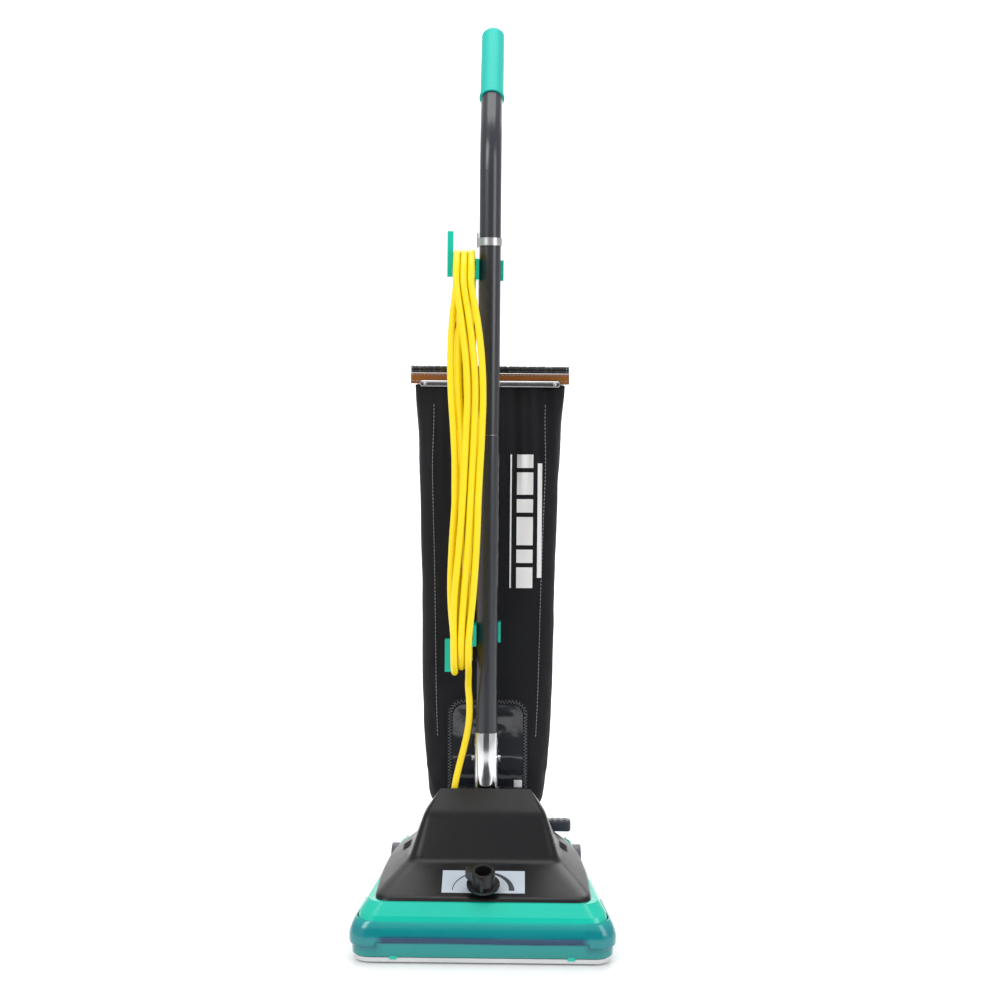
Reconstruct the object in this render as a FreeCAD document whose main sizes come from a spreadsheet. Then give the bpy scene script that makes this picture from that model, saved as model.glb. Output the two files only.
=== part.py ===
import FreeCAD, Part
import os
import math
from FreeCAD import Vector, Rotation, Placement

os.makedirs("parts", exist_ok=True)

# Commercial upright vacuum cleaner: a floor head with a belt-driven brush
# roll, a leaning tube handle on a forked bail, and a soft filter bag that
# hangs behind the handle.  Lengths in millimetres.
# Working frame: x to the right seen from the front, y back from the front
# of the bumper, z up from the floor.  Every sub-part's Placement moves it
# forward by origin_back, so that the frame's origin is at the middle of
# the footprint's bounding box.

doc = FreeCAD.newDocument("upright_vacuum")
sheet = doc.addObject("Spreadsheet::Sheet", "Sheet")
DIMS = [
    ("origin_back", 188.306), ("head_width", 335.0), ("head_depth", 292.0),
    ("plate_width", 322.0), ("plate_gap", 3.0), ("plate_thick", 3.0),
    ("wall_thick", 2.5),
    ("motor_y", 139.0), ("motor_z", 76.0), ("motor_dia", 74.0), ("motor_long", 76.0),
    ("shaft_dia", 10.0), ("brush_y", 40.0), ("brush_z", 31.0),
    ("brush_core_dia", 34.0), ("brush_long", 262.0), ("pulley_dia", 16.0),
    ("belt_x", -96.0), ("belt_wide", 12.0), ("belt_thick", 2.5),
    ("rear_axle_y", 262.0), ("rear_axle_z", 33.5), ("rear_wheel_dia", 67.0),
    ("rear_wheel_wide", 16.0), ("rear_axle_dia", 8.0),
    ("front_wheel_dia", 32.0), ("front_wheel_wide", 14.0), ("front_axle_dia", 6.0),
    ("front_axle_y", 82.0), ("front_axle_z", 16.0), ("carriage_y", 122.0),
    ("carriage_z", 30.0), ("carriage_half", 70.0),
    ("pivot_y", 186.1), ("pivot_z", 84.0), ("pivot_dia", 12.0), ("lean_angle", 3.0),
    ("tube_dia", 28.5), ("tube_wall", 1.6), ("socket_dia", 31.0),
    ("socket_low", 84.0), ("socket_top", 163.0), ("tube_low", 112.0),
    ("tube_joint", 560.0), ("bend_start", 905.0), ("bend_radius", 105.0),
    ("bend_angle", 37.0), ("upper_end", 52.0), ("grip_low", 46.0),
    ("grip_long", 125.0), ("grip_dia", 31.0), ("fork_half", 58.0),
    ("bolt_up", 127.0), ("bolt_dia", 6.0),
    ("knob_y", 44.0), ("knob_dia", 34.0), ("knob_flange", 42.0), ("knob_tall", 22.0),
    ("deck_angle", 17.0), ("label_width", 105.0), ("label_deep", 46.0),
    ("bag_top_z", 722.0), ("bag_top_y", 300.0), ("bag_top_width", 216.0),
    ("bag_low_z", 205.0), ("bag_width", 172.0), ("bag_depth", 96.0),
    ("duct_y", 232.0), ("duct_dia", 44.0), ("duct_top", 112.0),
    ("cord_dia", 9.0), ("hank_top", 888.0), ("hank_low", 340.0),
    ("pedal_x", 84.0), ("pedal_y", 268.0), ("pedal_z", 72.0),
]
for i, (name, value) in enumerate(DIMS):
    sheet.set("A%d" % (i + 1), name)
    sheet.set("B%d" % (i + 1), "%g" % value)
    sheet.setAlias("B%d" % (i + 1), name)
doc.recompute()
D = dict(DIMS)


def bind(obj, prop, value):
    """Set a property from a number, or bind it to the sheet by an expression."""
    if isinstance(value, str):
        obj.setExpression(prop, value.replace("$", "Sheet."))
    else:
        setattr(obj, prop, value)


def place(obj, x, y, z, rot=None):
    numbers = [0.0 if isinstance(v, str) else v for v in (x, y, z)]
    obj.Placement = Placement(Vector(*numbers), rot or Rotation())
    for k, v in zip("xyz", (x, y, z)):
        if isinstance(v, str):
            bind(obj, "Placement.Base." + k, v)


RX = Rotation(Vector(0, 1, 0), 90)     # local +z along +x
RY = Rotation(Vector(1, 0, 0), -90)    # local +z along +y
count = [0]


def box(l, w, t, x, y, z, rot=None):
    count[0] += 1
    o = doc.addObject("Part::Box", "Box%d" % count[0])
    bind(o, "Length", l)
    bind(o, "Width", w)
    bind(o, "Height", t)
    place(o, x, y, z, rot)
    return o


def cyl(r, long, x, y, z, rot=None):
    count[0] += 1
    o = doc.addObject("Part::Cylinder", "Cyl%d" % count[0])
    bind(o, "Radius", r)
    bind(o, "Height", long)
    place(o, x, y, z, rot)
    return o


def cone(r1, r2, long, x, y, z, rot=None):
    count[0] += 1
    o = doc.addObject("Part::Cone", "Cone%d" % count[0])
    bind(o, "Radius1", r1)
    bind(o, "Radius2", r2)
    bind(o, "Height", long)
    place(o, x, y, z, rot)
    return o


def fuse(*parts):
    count[0] += 1
    o = doc.addObject("Part::MultiFuse", "Fuse%d" % count[0])
    o.Shapes = list(parts)
    o.Refine = True
    return o


def cut(a, *tools):
    count[0] += 1
    o = doc.addObject("Part::Cut", "Cut%d" % count[0])
    o.Base = a
    o.Tool = tools[0] if len(tools) == 1 else fuse(*tools)
    o.Refine = True
    return o


def common(a, b):
    count[0] += 1
    o = doc.addObject("Part::Common", "Common%d" % count[0])
    o.Base, o.Tool = a, b
    return o


nodes = []


def node(label, obj):
    """Give a sub-part its name and move it into the shared frame."""
    obj.Label = label
    nodes.append((label, obj))
    return obj


def feature(label, shape):
    """A sub-part whose shape comes from Part's own functions."""
    o = doc.addObject("Part::Feature", "F_" + label)
    o.Shape = shape
    return node(label, o)


def solid_feature(shape):
    count[0] += 1
    o = doc.addObject("Part::Feature", "Shape%d" % count[0])
    o.Shape = shape
    return o


# ---------------------------------------------------------------- outlines
def ring(points, radii, z):
    """A closed wire at height z with each corner rounded by its radius."""
    n = len(points)
    ends, arcs = [], []
    for i in range(n):
        p0, p1, p2 = (Vector(*points[k % n], z) for k in (i - 1, i, i + 1))
        a, b = (p0 - p1).normalize(), (p2 - p1).normalize()
        half = a.getAngle(b) / 2
        r = radii[i]
        t = r / math.tan(half)
        mid = (a + b).normalize()
        m = p1 + mid * (r / math.sin(half) - r)
        ends.append((p1 + a * t, p1 + b * t))
        arcs.append(Part.Arc(p1 + a * t, m, p1 + b * t).toShape())
    edges = []
    for i in range(n):
        edges.append(arcs[i])
        edges.append(Part.LineSegment(ends[i][1], ends[(i + 1) % n][0]).toShape())
    return Part.Wire(edges)


def mirrored(side):
    """Full outline from the points of the +x side, front to back."""
    return [(x, y) for x, y in side] + [(-x, y) for x, y in reversed(side)]


def stack(levels):
    """A solid through outlines (side points, radii, z)."""
    wires = [ring(mirrored(s), list(r) + list(reversed(r)), z) for s, r, z in levels]
    return Part.makeLoft(wires, True, True)


W = D["head_width"] / 2 + 2.33   # corner of the outline before rounding
YR = D["head_depth"] - 3


def head_level(front, yf, rear, yr, z, rf=22, rr=26):
    return ([(front, yf), (rear, yr)], [rf, rr], z)


# ------------------------------------------------------------ floor head
shell_out = stack([head_level(W - 10.5, 6.5, 124, YR, 9), head_level(W - 10.5, 6.5, 124, YR, 52),
                   head_level(W - 12.5, 9.5, 122, YR - 1, 60), head_level(W - 22, 24, 114, YR - 5, 72.5)])
t_wall = D["wall_thick"]
shell_in = stack([head_level(W - 10.5 - t_wall, 9, 124 - t_wall, YR - t_wall, 5),
                  head_level(W - 10.5 - t_wall, 9, 124 - t_wall, YR - t_wall, 51),
                  head_level(W - 12.5 - t_wall, 12, 122 - t_wall, YR - 1 - t_wall, 57),
                  head_level(W - 24.5, 27, 114 - t_wall, YR - 8, 70)])
base = cut(solid_feature(shell_out), solid_feature(shell_in),
           box(216, 118, 14, -108, 60, 62),                       # opening over motor and belt
           cyl(7, 18, 0, "$knob_y + 4", 60),                          # knob stem
           cyl("$duct_dia / 2 + 0.5", 14, 0, "$duct_y", 62),                       # exhaust up to the collar
           box(30, 72, 70.5, 112, 224, -1), box(30, 72, 70.5, -142, 224, -1))  # wheel arches
arch = [fuse(box(t_wall, 64, 62, sx, 222, 9), box(16, t_wall, 62, sy, 221.5, 9)) for sx, sy in ((109.5, 109.5), (-112, -125.5))]
boss = [cut(cyl(8.5, 5, sx, "$rear_axle_y", "$rear_axle_z", RX),
            cyl("$rear_axle_dia / 2 + 0.0", 7, sx - 1, "$rear_axle_y", "$rear_axle_z", RX))
        for sx in (104.7, -109.7)]
arch_cut = [cut(a, cyl("$rear_axle_dia / 2 + 0.0", 20, sx, "$rear_axle_y", "$rear_axle_z", RX))
            for a, sx in zip(arch, (100, -120))]
base_housing = node("base_housing", fuse(base, *arch_cut, *boss))

bump_out = stack([head_level(W - 6.5, 3.5, 128, YR, 10), head_level(W - 6, 3, 128.5, YR, 21),
                  head_level(W, 0, 134.5, YR, 26), head_level(W, 0, 134.5, YR, 34),
                  head_level(W - 7.6, 4, 126.5, YR, 54)])
bump_in = stack([head_level(W - 10.1, 6.1, 124.4, YR + 4, 5), head_level(W - 10.1, 6.1, 124.4, YR + 4, 60)])
front_bumper = node("front_bumper", cut(solid_feature(bump_out), solid_feature(bump_in),
                                        box(400, 300, 100, -200, 92, 0)))

# sole plate: light grey tray lip with the brush opening and wheel windows
plate_out = stack([head_level(W - 6.5, 4, 127, YR, 3, 20, 26), head_level(W - 6.5, 4, 127, YR, 9.7, 20, 26)])
plate_in = stack([head_level(W - 11, 8.5, 122.5, YR - 4, 6, 18, 24), head_level(W - 11, 8.5, 122.5, YR - 4, 12, 18, 24)])
plate_lip = box(400, 300, 4, -200, -4, 8.7)
plate_keep = common(solid_feature(plate_out), box(400, 98, 20, -200, 0, 0))
soleplate = node("soleplate", cut(plate_keep, solid_feature(plate_in), plate_lip,
                                  box(268, 41, 12, -134, 19, 0),
                                  box(22, 34, 12, 59, 65, 0), box(22, 34, 12, -81, 65, 0),
                                  cyl(2.2, 12, 120, 82, 0), cyl(2.2, 12, -120, 82, 0),
                                  cyl(2.2, 12, 0, 92, 0)))
pan_out = stack([head_level(W - 11.5, 8, 121.2, YR - 4, 5, 20, 22), head_level(W - 11.5, 8, 121.2, YR - 4, 7.5, 20, 22)])
belly_pan = node("belly_pan", cut(common(solid_feature(pan_out), box(400, 300, 20, -200, 101.5, 0)),
                                  box(40, 90, 20, 106, 216, 0), box(40, 90, 20, -146, 216, 0)))
screws = [fuse(cyl(4, 1.8, x, y, 6.05), cyl(2, 14, x, y, 6.5)) for x, y in ((-120, 82), (0, 92), (120, 82))]
soleplate_screws = node("soleplate_screws", fuse(*screws))

# -------------------------------------------------------------------- hood
HOOD = [
    ([(136.5, 28), (135, 125), (127, 205), (114, 253), (98, 283)], 72.9),
    ([(135.5, 31), (134, 125), (126, 205), (113, 252), (97, 281)], 77.0),
    ([(97.8, 104), (99, 140), (97, 190), (90, 235), (80, 262)], 98.5),
    ([(80, 140), (79.5, 160), (76, 180), (72, 195), (66, 206)], 150.0),
    ([(59.5, 171.5), (59, 174), (58.6, 177), (58, 180), (57, 184)], 175.0),
]


def hood_solid(inset, drop):
    wires = []
    for i, (side, z) in enumerate(HOOD):
        yc = sum(p[1] for p in side) / len(side)
        pts = []
        for k, (x, y) in enumerate(side):
            dy = inset if k == 0 else (-inset if k == len(side) - 1 else 0)
            pts.append((x - inset, y + dy))
        full = mirrored(pts)
        zz = z - (drop if i else 2 * drop)
        poly = [Vector(x, y, zz) for x, y in full]
        wires.append(Part.makePolygon(poly + [poly[0]]))
    return Part.makeLoft(wires, True, True)


hood_o = hood_solid(0, 0)
hood_i = hood_solid(t_wall, t_wall)
walls = box(141, 140, 130, -70.5, 169.5, 60)
recess = [box(136, 130, 90, -68, 172, 100), box(15, 130, 60, 53, 172, 60), box(15, 130, 60, -68, 172, 60),
          box(110, 130, 50, -55, 180.5, 60)]

def deck_z(y):
    """Height of the sloping deck in front of the motor hump."""
    return 77 + (y - 31) * (98.5 - 77) / (104 - 31)


DECK_TILT = math.degrees(math.atan((98.5 - 77) / (104 - 31)))
deck_rot = Rotation(Vector(1, 0, 0), DECK_TILT)
ny, nz = -math.sin(math.radians(DECK_TILT)), math.cos(math.radians(DECK_TILT))


def on_deck(y, up):
    return Vector(0, y + ny * up, deck_z(y) + nz * up)


def deck_cyl(r, low, high, y):
    p = on_deck(y, low)
    return cyl(r, high - low, p.x, p.y, p.z, deck_rot)



hood_hole = deck_cyl(5.5, -12, 6, D["knob_y"])
void = cut(solid_feature(hood_i), walls)
behind_motor = box(105, 13, 37, -52.5, 165, 60.5)
motor_hood = node("motor_hood", cut(solid_feature(hood_o), void, behind_motor, *recess,
                                    hood_hole))

# height label: a thin plate with a hole for the knob's stem
p = on_deck(40, 0.05)
label_box = box("$label_width", "$label_deep", 0.6, "-$label_width / 2", p.y, p.z, deck_rot)
height_label = node("height_label", cut(label_box, deck_cyl(6.2, -2, 4, D["knob_y"])))

# height knob: stem, flange, hollow body and a straight pointer blade
ky = D["knob_y"]
blade_p = on_deck(ky, 13)
blade_rot = deck_rot.multiply(Rotation(Vector(0, 0, 1), 121))
blade = box(38, 4, 17, 0, 0, 0)
blade.Placement = Placement(blade_p, blade_rot).multiply(Placement(Vector(-17, 10, 0), Rotation()))
ribs = []
knob_body = fuse(deck_cyl("$knob_flange / 2", 9.0, 12.0, ky), deck_cyl("$knob_dia / 2 - 2", 11.5, 31.0, ky),
                 blade, deck_cyl(4.0, -16, 10, ky), deck_cyl(9, -17.5, -14, ky))
height_knob = node("height_knob", cut(knob_body, deck_cyl(10.5, 16, 40, ky)))
bush = cut(deck_cyl(5.2, -6, 0.6, ky), deck_cyl(4.05, -8, 4, ky))
knob_bush = node("knob_bush", bush)

# ------------------------------------------------------- drive inside the head
my, mz = "$motor_y", "$motor_z"
motor_case = node("motor_case", cut(
    fuse(cyl("$motor_dia / 2", "$motor_long", "-$motor_long / 2", my, mz, RX),
         box(60, 28, 24, -30, D["motor_y"] - 12, 20.0)),
    cyl("$motor_dia / 2 - 3", "$motor_long - 8", "-$motor_long / 2 + 4", my, mz, RX),
    cyl(9.5, 120, -60, my, mz, RX),
    box(40, 40, 10, -20, D["motor_y"] - 20, 26)))
field_core = node("motor_field_core", cut(
    cyl("$motor_dia / 2 - 3.2", 44, -22, my, mz, RX), cyl(22.5, 50, -25, my, mz, RX)))
armature = node("armature", fuse(
    cyl("$shaft_dia / 2", 201, -107, my, mz, RX), cyl(21.5, 42, -21, my, mz, RX),
    cyl(12, 10, 21.5, my, mz, RX)))
commutator = node("carbon_brushes", fuse(
    box(7, 8, 16, 23, D["motor_y"] - 4, D["motor_z"] + 12.3), box(7, 8, 16, 23, D["motor_y"] - 4, D["motor_z"] - 28.3)))
bearing = [cut(cyl(9.4, 6, x, my, mz, RX), cyl("$shaft_dia / 2 + 0.03", 8, x - 1, my, mz, RX)) for x in (-38, 32)]
motor_bearings = node("motor_bearings", fuse(*bearing))
motor_pulley = node("motor_pulley", cut(
    fuse(cyl("$pulley_dia / 2", 14, "$belt_x - 7", my, mz, RX), cyl("$pulley_dia / 2 + 3", 1.5, "$belt_x - 8.5", my, mz, RX),
         cyl("$pulley_dia / 2 + 3", 1.5, "$belt_x + 7", my, mz, RX)),
    cyl("$shaft_dia / 2", 20, "$belt_x - 10", my, mz, RX)))
blades = []
for i in range(8):
    b = box(11, 16, 1.6, 0, 0, 0)
    b.Placement = Placement(Vector(74, D["motor_y"], D["motor_z"]), Rotation(Vector(1, 0, 0), 45 * i)).multiply(
        Placement(Vector(0, 9, -0.8), Rotation()))
    blades.append(b)
suction_fan = node("suction_fan", cut(fuse(cyl(11, 13, 74.2, my, mz, RX), cyl(27, 1.6, 85, my, mz, RX), *blades),
                                      cyl("$shaft_dia / 2", 30, 70, my, mz, RX)))
fan_housing = node("fan_housing", cut(
    fuse(cyl(31, 20, 71, my, mz, RX), box(19, 40, 26, 72, 148, 34)),
    cyl(29, 16, 73, my, mz, RX), cyl(8, 40, 68, my, mz, RX), box(15, 42, 22, 74, 150, 36)))
exhaust_duct = node("exhaust_duct", cut(
    fuse(box(19, 66, 26, 72, 188.3, 34), box(98, 48, 40, -24, 208, 24),
         cyl("$duct_dia / 2", "$duct_top - 60", 0, "$duct_y", 60)),
    box(15, 58, 22, 74, 187, 36), box(94, 44, 36, -22, 210, 26),
    cyl("$duct_dia / 2 - 2", 60, 0, "$duct_y", 55)))
collar_clamp = node("bag_clamp", cut(
    fuse(cyl("$duct_dia / 2 + 4.2", 9, 0, "$duct_y", 92), box(12, 12, 9, -6, "$duct_y + $duct_dia / 2 + 1.5", 92)),
    cyl("$duct_dia / 2 + 2.4", 20, 0, "$duct_y", 90), box(3, 20, 20, -1.5, "$duct_y + $duct_dia / 2", 90)))

# brush roll: core with two pulley flanges, bristle strips, shaft ends
by, bz = "$brush_y", "$brush_z"
brush_core = node("brush_roll", cut(fuse(
    cyl("$brush_core_dia / 2", "$brush_long - 14", "-$brush_long / 2 + 7", by, bz, RX),
    cyl(4, "$brush_long + 8", "-$brush_long / 2 - 4", by, bz, RX)),
    cut(cyl(20, 14, "$belt_x - 7", by, bz, RX), cyl(14, 16, "$belt_x - 8", by, bz, RX))))
tufts = []
for i in range(22):
    x = -78 + 9.4 * i
    if i in (0, 1, 15, 16):                    # no tufts ahead of the front wheels
        continue
    a = 360.0 * i / 22
    for k in (0, 180):
        b = cyl(2.2, 11.4, 0, 0, 0)
        b.Placement = Placement(Vector(x, D["brush_y"], D["brush_z"]), Rotation(Vector(1, 0, 0), a + k)).multiply(
            Placement(Vector(0, 0, 17.02), Rotation()))
        tufts.append(b)
brush_bristles = node("brush_bristles", fuse(*tufts))
caps = [cut(box(7, 26, 26, x, D["brush_y"] - 13, D["brush_z"] - 13), cyl(4.05, 12, x - 2, by, bz, RX)) for x in (127.8, -134.8)]
brush_end_caps = node("brush_end_caps", fuse(*caps))

# belt: two straight runs tangent to the motor pulley and the brush roll
c1 = Vector(0, D["motor_y"], D["motor_z"])
c2 = Vector(0, D["brush_y"], D["brush_z"])


def belt_wire(r1, r2, x):
    d = c2 - c1
    L = d.Length
    u = Vector(d).normalize()
    n = Vector(1, 0, 0).cross(u)
    s = (r1 - r2) / L
    c = math.sqrt(1 - s * s)
    pts = []
    for sg in (1, -1):
        v = u * s + n * (c * sg)
        pts.append((c1 + v * r1, c2 + v * r2))
    off = Vector(x, 0, 0)
    e = [Part.LineSegment(pts[0][0] + off, pts[0][1] + off).toShape(),
         Part.Arc(pts[0][1] + off, c2 + u * r2 + off, pts[1][1] + off).toShape(),
         Part.LineSegment(pts[1][1] + off, pts[1][0] + off).toShape(),
         Part.Arc(pts[1][0] + off, c1 - u * r1 + off, pts[0][0] + off).toShape()]
    return Part.Wire(e)


bx = D["belt_x"] - D["belt_wide"] / 2
r1, r2, bt = D["pulley_dia"] / 2 + 0.15, 14 + 0.15, D["belt_thick"]
outer = Part.Face(belt_wire(r1 + bt, r2 + bt, bx)).extrude(Vector(D["belt_wide"], 0, 0))
inner = Part.Face(belt_wire(r1, r2, bx)).extrude(Vector(D["belt_wide"], 0, 0))
feature("drive_belt", outer.cut(inner))

# --------------------------------------------------------------- wheels
for side, x in (("right", 115.2), ("left", -131.2)):
    tyre = cut(cyl("$rear_wheel_dia / 2", "$rear_wheel_wide", x, "$rear_axle_y", "$rear_axle_z", RX),
               cyl("$rear_axle_dia / 2 + 0.05", 30, x - 5, "$rear_axle_y", "$rear_axle_z", RX),
               cyl(20, 5, (x + 12) if side == "right" else (x - 1), "$rear_axle_y", "$rear_axle_z", RX))
    hub = cut(cyl(9, 5, (x + 11) if side == "right" else x, "$rear_axle_y", "$rear_axle_z", RX),
              cyl("$rear_axle_dia / 2 + 0.05", 30, x - 5, "$rear_axle_y", "$rear_axle_z", RX))
    node("rear_wheel_" + side, fuse(tyre, hub))
rear_axle = node("rear_axle", fuse(
    cyl("$rear_axle_dia / 2", 267, -133.5, "$rear_axle_y", "$rear_axle_z", RX),
    cyl(6.5, 2.2, 131.8, "$rear_axle_y", "$rear_axle_z", RX), cyl(6.5, 2.2, -134.0, "$rear_axle_y", "$rear_axle_z", RX)))
# front carriage: two side plates on a pivot rod, and the wheel axle
fy, fz, cy, cz = "$front_axle_y", "$front_axle_z", "$carriage_y", "$carriage_z"
arm_len = math.hypot(D["carriage_y"] - D["front_axle_y"], D["carriage_z"] - D["front_axle_z"])
arm_ang = math.degrees(math.atan2(D["carriage_z"] - D["front_axle_z"], D["carriage_y"] - D["front_axle_y"]))
arms = []
for x in (-60, 57):
    a = box(3, arm_len, 9, 0, 0, -4.5)
    a.Placement = Placement(Vector(x, D["front_axle_y"], D["front_axle_z"]), Rotation(Vector(1, 0, 0), arm_ang)).multiply(
        Placement(Vector(0, 0, -4.5), Rotation()))
    arms += [a, cyl(4.5 + 1, 3, x, fy, fz, RX), cyl(5.5, 3, x, cy, cz, RX)]
cross = box(114, 3, 9, -57, 0, 0)
cross.Placement = Placement(Vector(0, D["front_axle_y"], D["front_axle_z"]), Rotation(Vector(1, 0, 0), arm_ang)).multiply(
    Placement(Vector(-57, 20, -4.5), Rotation()))
front_carriage = node("front_wheel_carriage", cut(fuse(*arms, cross),
                      cyl("$front_axle_dia / 2", 200, -100, fy, fz, RX), cyl("$front_axle_dia / 2 + 0.05", 200, -100, cy, cz, RX)))
front_axle = node("front_axle", cyl("$front_axle_dia / 2", 158, -79, fy, fz, RX))
for side, x in (("right", 63), ("left", -77)):
    node("front_wheel_" + side, cut(cyl("$front_wheel_dia / 2", "$front_wheel_wide", x, fy, fz, RX),
                                    cyl("$front_axle_dia / 2 + 0.05", 40, x - 10, fy, fz, RX)))
carriage_rod = node("carriage_rod", fuse(
    cyl("$front_axle_dia / 2", 150, -75, cy, cz, RX),
    cut(fuse(box(5, 16, 34, 64, D["carriage_y"] - 8, 7.6), box(5, 16, 34, -69, D["carriage_y"] - 8, 7.6)),
        cyl(2.0, 200, -100, cy, cz, RX))))

# ------------------------------------------------------------------ handle
# Handle parts are drawn with the pivot at the origin and the tube along
# local z, then leaned back by lean_angle and moved to the pivot.
lean = Placement(Vector(0, D["pivot_y"], D["pivot_z"]), Rotation(Vector(1, 0, 0), -D["lean_angle"]))
LEAN = math.radians(D["lean_angle"])


def local(obj):
    obj.Placement = lean.multiply(obj.Placement)
    return obj


def at(x, y, up):
    """Handle coordinates to the working frame."""
    return lean.multVec(Vector(x, y, up))


fh = D["fork_half"]
arms = []
for sx in (fh - 2.5, -fh - 2.5):
    arms += [box(5, 14, 88, sx, -4, -2), cyl(10.4, 5, sx, 0, 0, RX)]
fork = cut(fuse(*arms, box(2 * fh + 5, 14, 7, -fh - 2.5, -4, 79), cyl("$socket_dia / 2", "$socket_top - $socket_low + 2", 0, 0, "$socket_low - 2")),
           cyl("$tube_dia / 2", 120, 0, 0, "$tube_low - 6"),
           cyl("$bolt_dia / 2", 60, -30, 0, "$bolt_up", RX),
           cyl("$pivot_dia / 2 + 0.05", 200, -100, 0, 0, RX))
node("handle_bail", local(fork))
pins = fuse(*[fuse(cyl("$pivot_dia / 2", 12, x, "$pivot_y", "$pivot_z", RX), cyl(8.5, 1.8, e, "$pivot_y", "$pivot_z", RX))
              for x, e in ((54.0, 53.0), (-66.0, -54.8))])
bracket = fuse(*[cut(fuse(box(3, 24, 24, x, 174.5, 72.6), box(4.0, 24, 3, f, 174.5, 72.6)),
                     cyl("$pivot_dia / 2", 30, x - 10, "$pivot_y", "$pivot_z", RX)) for x, f in ((61.2, 63), (-64.2, -67.0))])
bail_pivots = node("bail_pivots", fuse(bracket, pins))

tube_cut = cyl("$bolt_dia / 2", 60, -30, 0, "$bolt_up", RX)
lower_tube = cut(cyl("$tube_dia / 2", "$tube_joint - $tube_low - 0.3", 0, 0, "$tube_low"),
                 cyl("$tube_dia / 2 - $tube_wall", 600, 0, 0, "$tube_low - 5"),
                 cyl("$bolt_dia / 2", 60, -30, 0, "$bolt_up", RX))
node("lower_tube", local(lower_tube))
# upper tube: straight, then bent back to the grip
R, B = D["bend_radius"], math.radians(D["bend_angle"])
s0 = Vector(0, 0, D["tube_joint"] + 0.3)
s1 = Vector(0, 0, D["bend_start"])
s2 = Vector(0, R * (1 - math.cos(B)), D["bend_start"] + R * math.sin(B))
sm = Vector(0, R * (1 - math.cos(B / 2)), D["bend_start"] + R * math.sin(B / 2))
tdir = Vector(0, math.sin(B), math.cos(B))
s3 = s2 + tdir * (D["upper_end"] + 60)
spine = Part.Wire([Part.LineSegment(s0, s1).toShape(), Part.Arc(s1, sm, s2).toShape(), Part.LineSegment(s2, s3).toShape()])


def swept(path, r, start, direction):
    profile = Part.Wire([Part.Circle(start, direction, r).toShape()])
    return path.makePipeShell([profile], True, False)


up_z = Vector(0, 0, 1)
upper = swept(spine, D["tube_dia"] / 2, s0, up_z).cut(swept(spine, D["tube_dia"] / 2 - D["tube_wall"], s0, up_z))
inner_sleeve = Part.makeCylinder(D["tube_dia"] / 2 - D["tube_wall"], 120, Vector(0, 0, D["tube_joint"] - 60), up_z).cut(
    Part.makeCylinder(D["tube_dia"] / 2 - D["tube_wall"] - 1.5, 130, Vector(0, 0, D["tube_joint"] - 65), up_z))
F1 = feature("upper_tube", upper)
F2 = feature("tube_joint_sleeve", inner_sleeve)
g0 = s2 + tdir * D["grip_low"]
grip = Part.makeCylinder(D["grip_dia"] / 2, D["grip_long"] - 6, g0, tdir)
grip = grip.fuse(Part.makeCone(D["grip_dia"] / 2, D["grip_dia"] / 2 - 4, 6, g0 + tdir * (D["grip_long"] - 6), tdir))
grip = grip.fuse(Part.makeCylinder(D["grip_dia"] / 2 + 1.2, 4, g0, tdir))
grip = grip.cut(Part.makeCylinder(D["tube_dia"] / 2, D["upper_end"] + 60.4 - D["grip_low"], g0 - tdir * 0.01, tdir))
F3 = feature("hand_grip", grip)
bolt = fuse(cyl("$bolt_dia / 2", 38, -19, 0, "$bolt_up", RX), cyl(5.0, 3.2, -19.2, 0, "$bolt_up", RX))
nut = cyl(5.0, 3.4, 15.7, 0, "$bolt_up", RX)
node("handle_bolt", local(fuse(cut(bolt, box(1.6, 1.6, 10, -20.2, -0.8, "$bolt_up - 5")), nut)))

# cord hooks: a saddle round the left side and back of the tube, an arm to
# the left, and a prong that keeps the cord on the arm
u0, l0 = 770.0, 296.0
tr = "$tube_dia / 2 + 0.05"


def cord_hook(label, low, arm_up, prong_low, prong_high):
    saddle = cut(fuse(box(4.5, 46, 27, -18.2, -27, low), box(36.2, 5, 27, -18.2, 13.4, low),
                      box(3.6, 16, 27, 14.4, 2.4, low), box(6, 4, 27, -14.5, 10, low)),
                 cyl(tr, 80, 0, 0, low - 20))
    return node(label, local(fuse(saddle, box(41, 10, 9, -55, -27, arm_up),
                                  box(8, 10, prong_high - prong_low, -55, -27, prong_low))))


cord_hook("upper_cord_hook", u0 - 8, u0 - 5, u0 - 5, u0 + 54)
cord_hook("lower_cord_hook", l0 - 13, l0 - 14, l0 - 48, l0 - 5)
screw = [fuse(cyl(1.8, 4.6, 0, 14.3, z, RY), cyl(3.2, 1.8, 0, 18.42, z, RY)) for z in (u0 + 6, l0 - 1)]
node("hook_screws", local(fuse(*screw)))
clip = fuse(box(2, 14, 19, -17.2, -2, 805), box(6, 3, 6, -17.2, 12, 812))
node("bag_hanger_clip", local(cut(fuse(clip, cyl("$tube_dia / 2 + 1.6", 10, 0, 0, 807)), cyl(tr, 40, 0, 0, 795))))

# ------------------------------------------------------------------- bag
BAG = [  # height up the handle, half width, front, back
    (121.5, 80, 25, 108), (150, 85, 29, 118), (220, 88, 31, 127), (350, 91.5, 33, 130), (470, 95, 38, 126),
    (560, 98.5, 52, 108), (610, 102, 70, 92), (626, 103, 76, 88)]
wires = []
for up, hw, f, b in BAG:
    r = min(26, (b - f) * 0.42)
    wires.append(ring([(hw, f), (hw, b), (-hw, b), (-hw, f)], [r] * 4, up))
bag_body = local(solid_feature(Part.makeLoft(wires, True, True)))
node("filter_bag", bag_body)
NECK = [(96, 0, D["duct_dia"] / 2 + 2.0, 0), (112, 1, 0, 0)]
neck_low = [ring([(17, 232 - 17), (17, 232 + 17), (-17, 232 + 17), (-17, 232 - 17)], [16.9] * 4, D["duct_top"] + 0.4)]
q = [at(0, f, 120.6) for f in (27, 106)]
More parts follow.
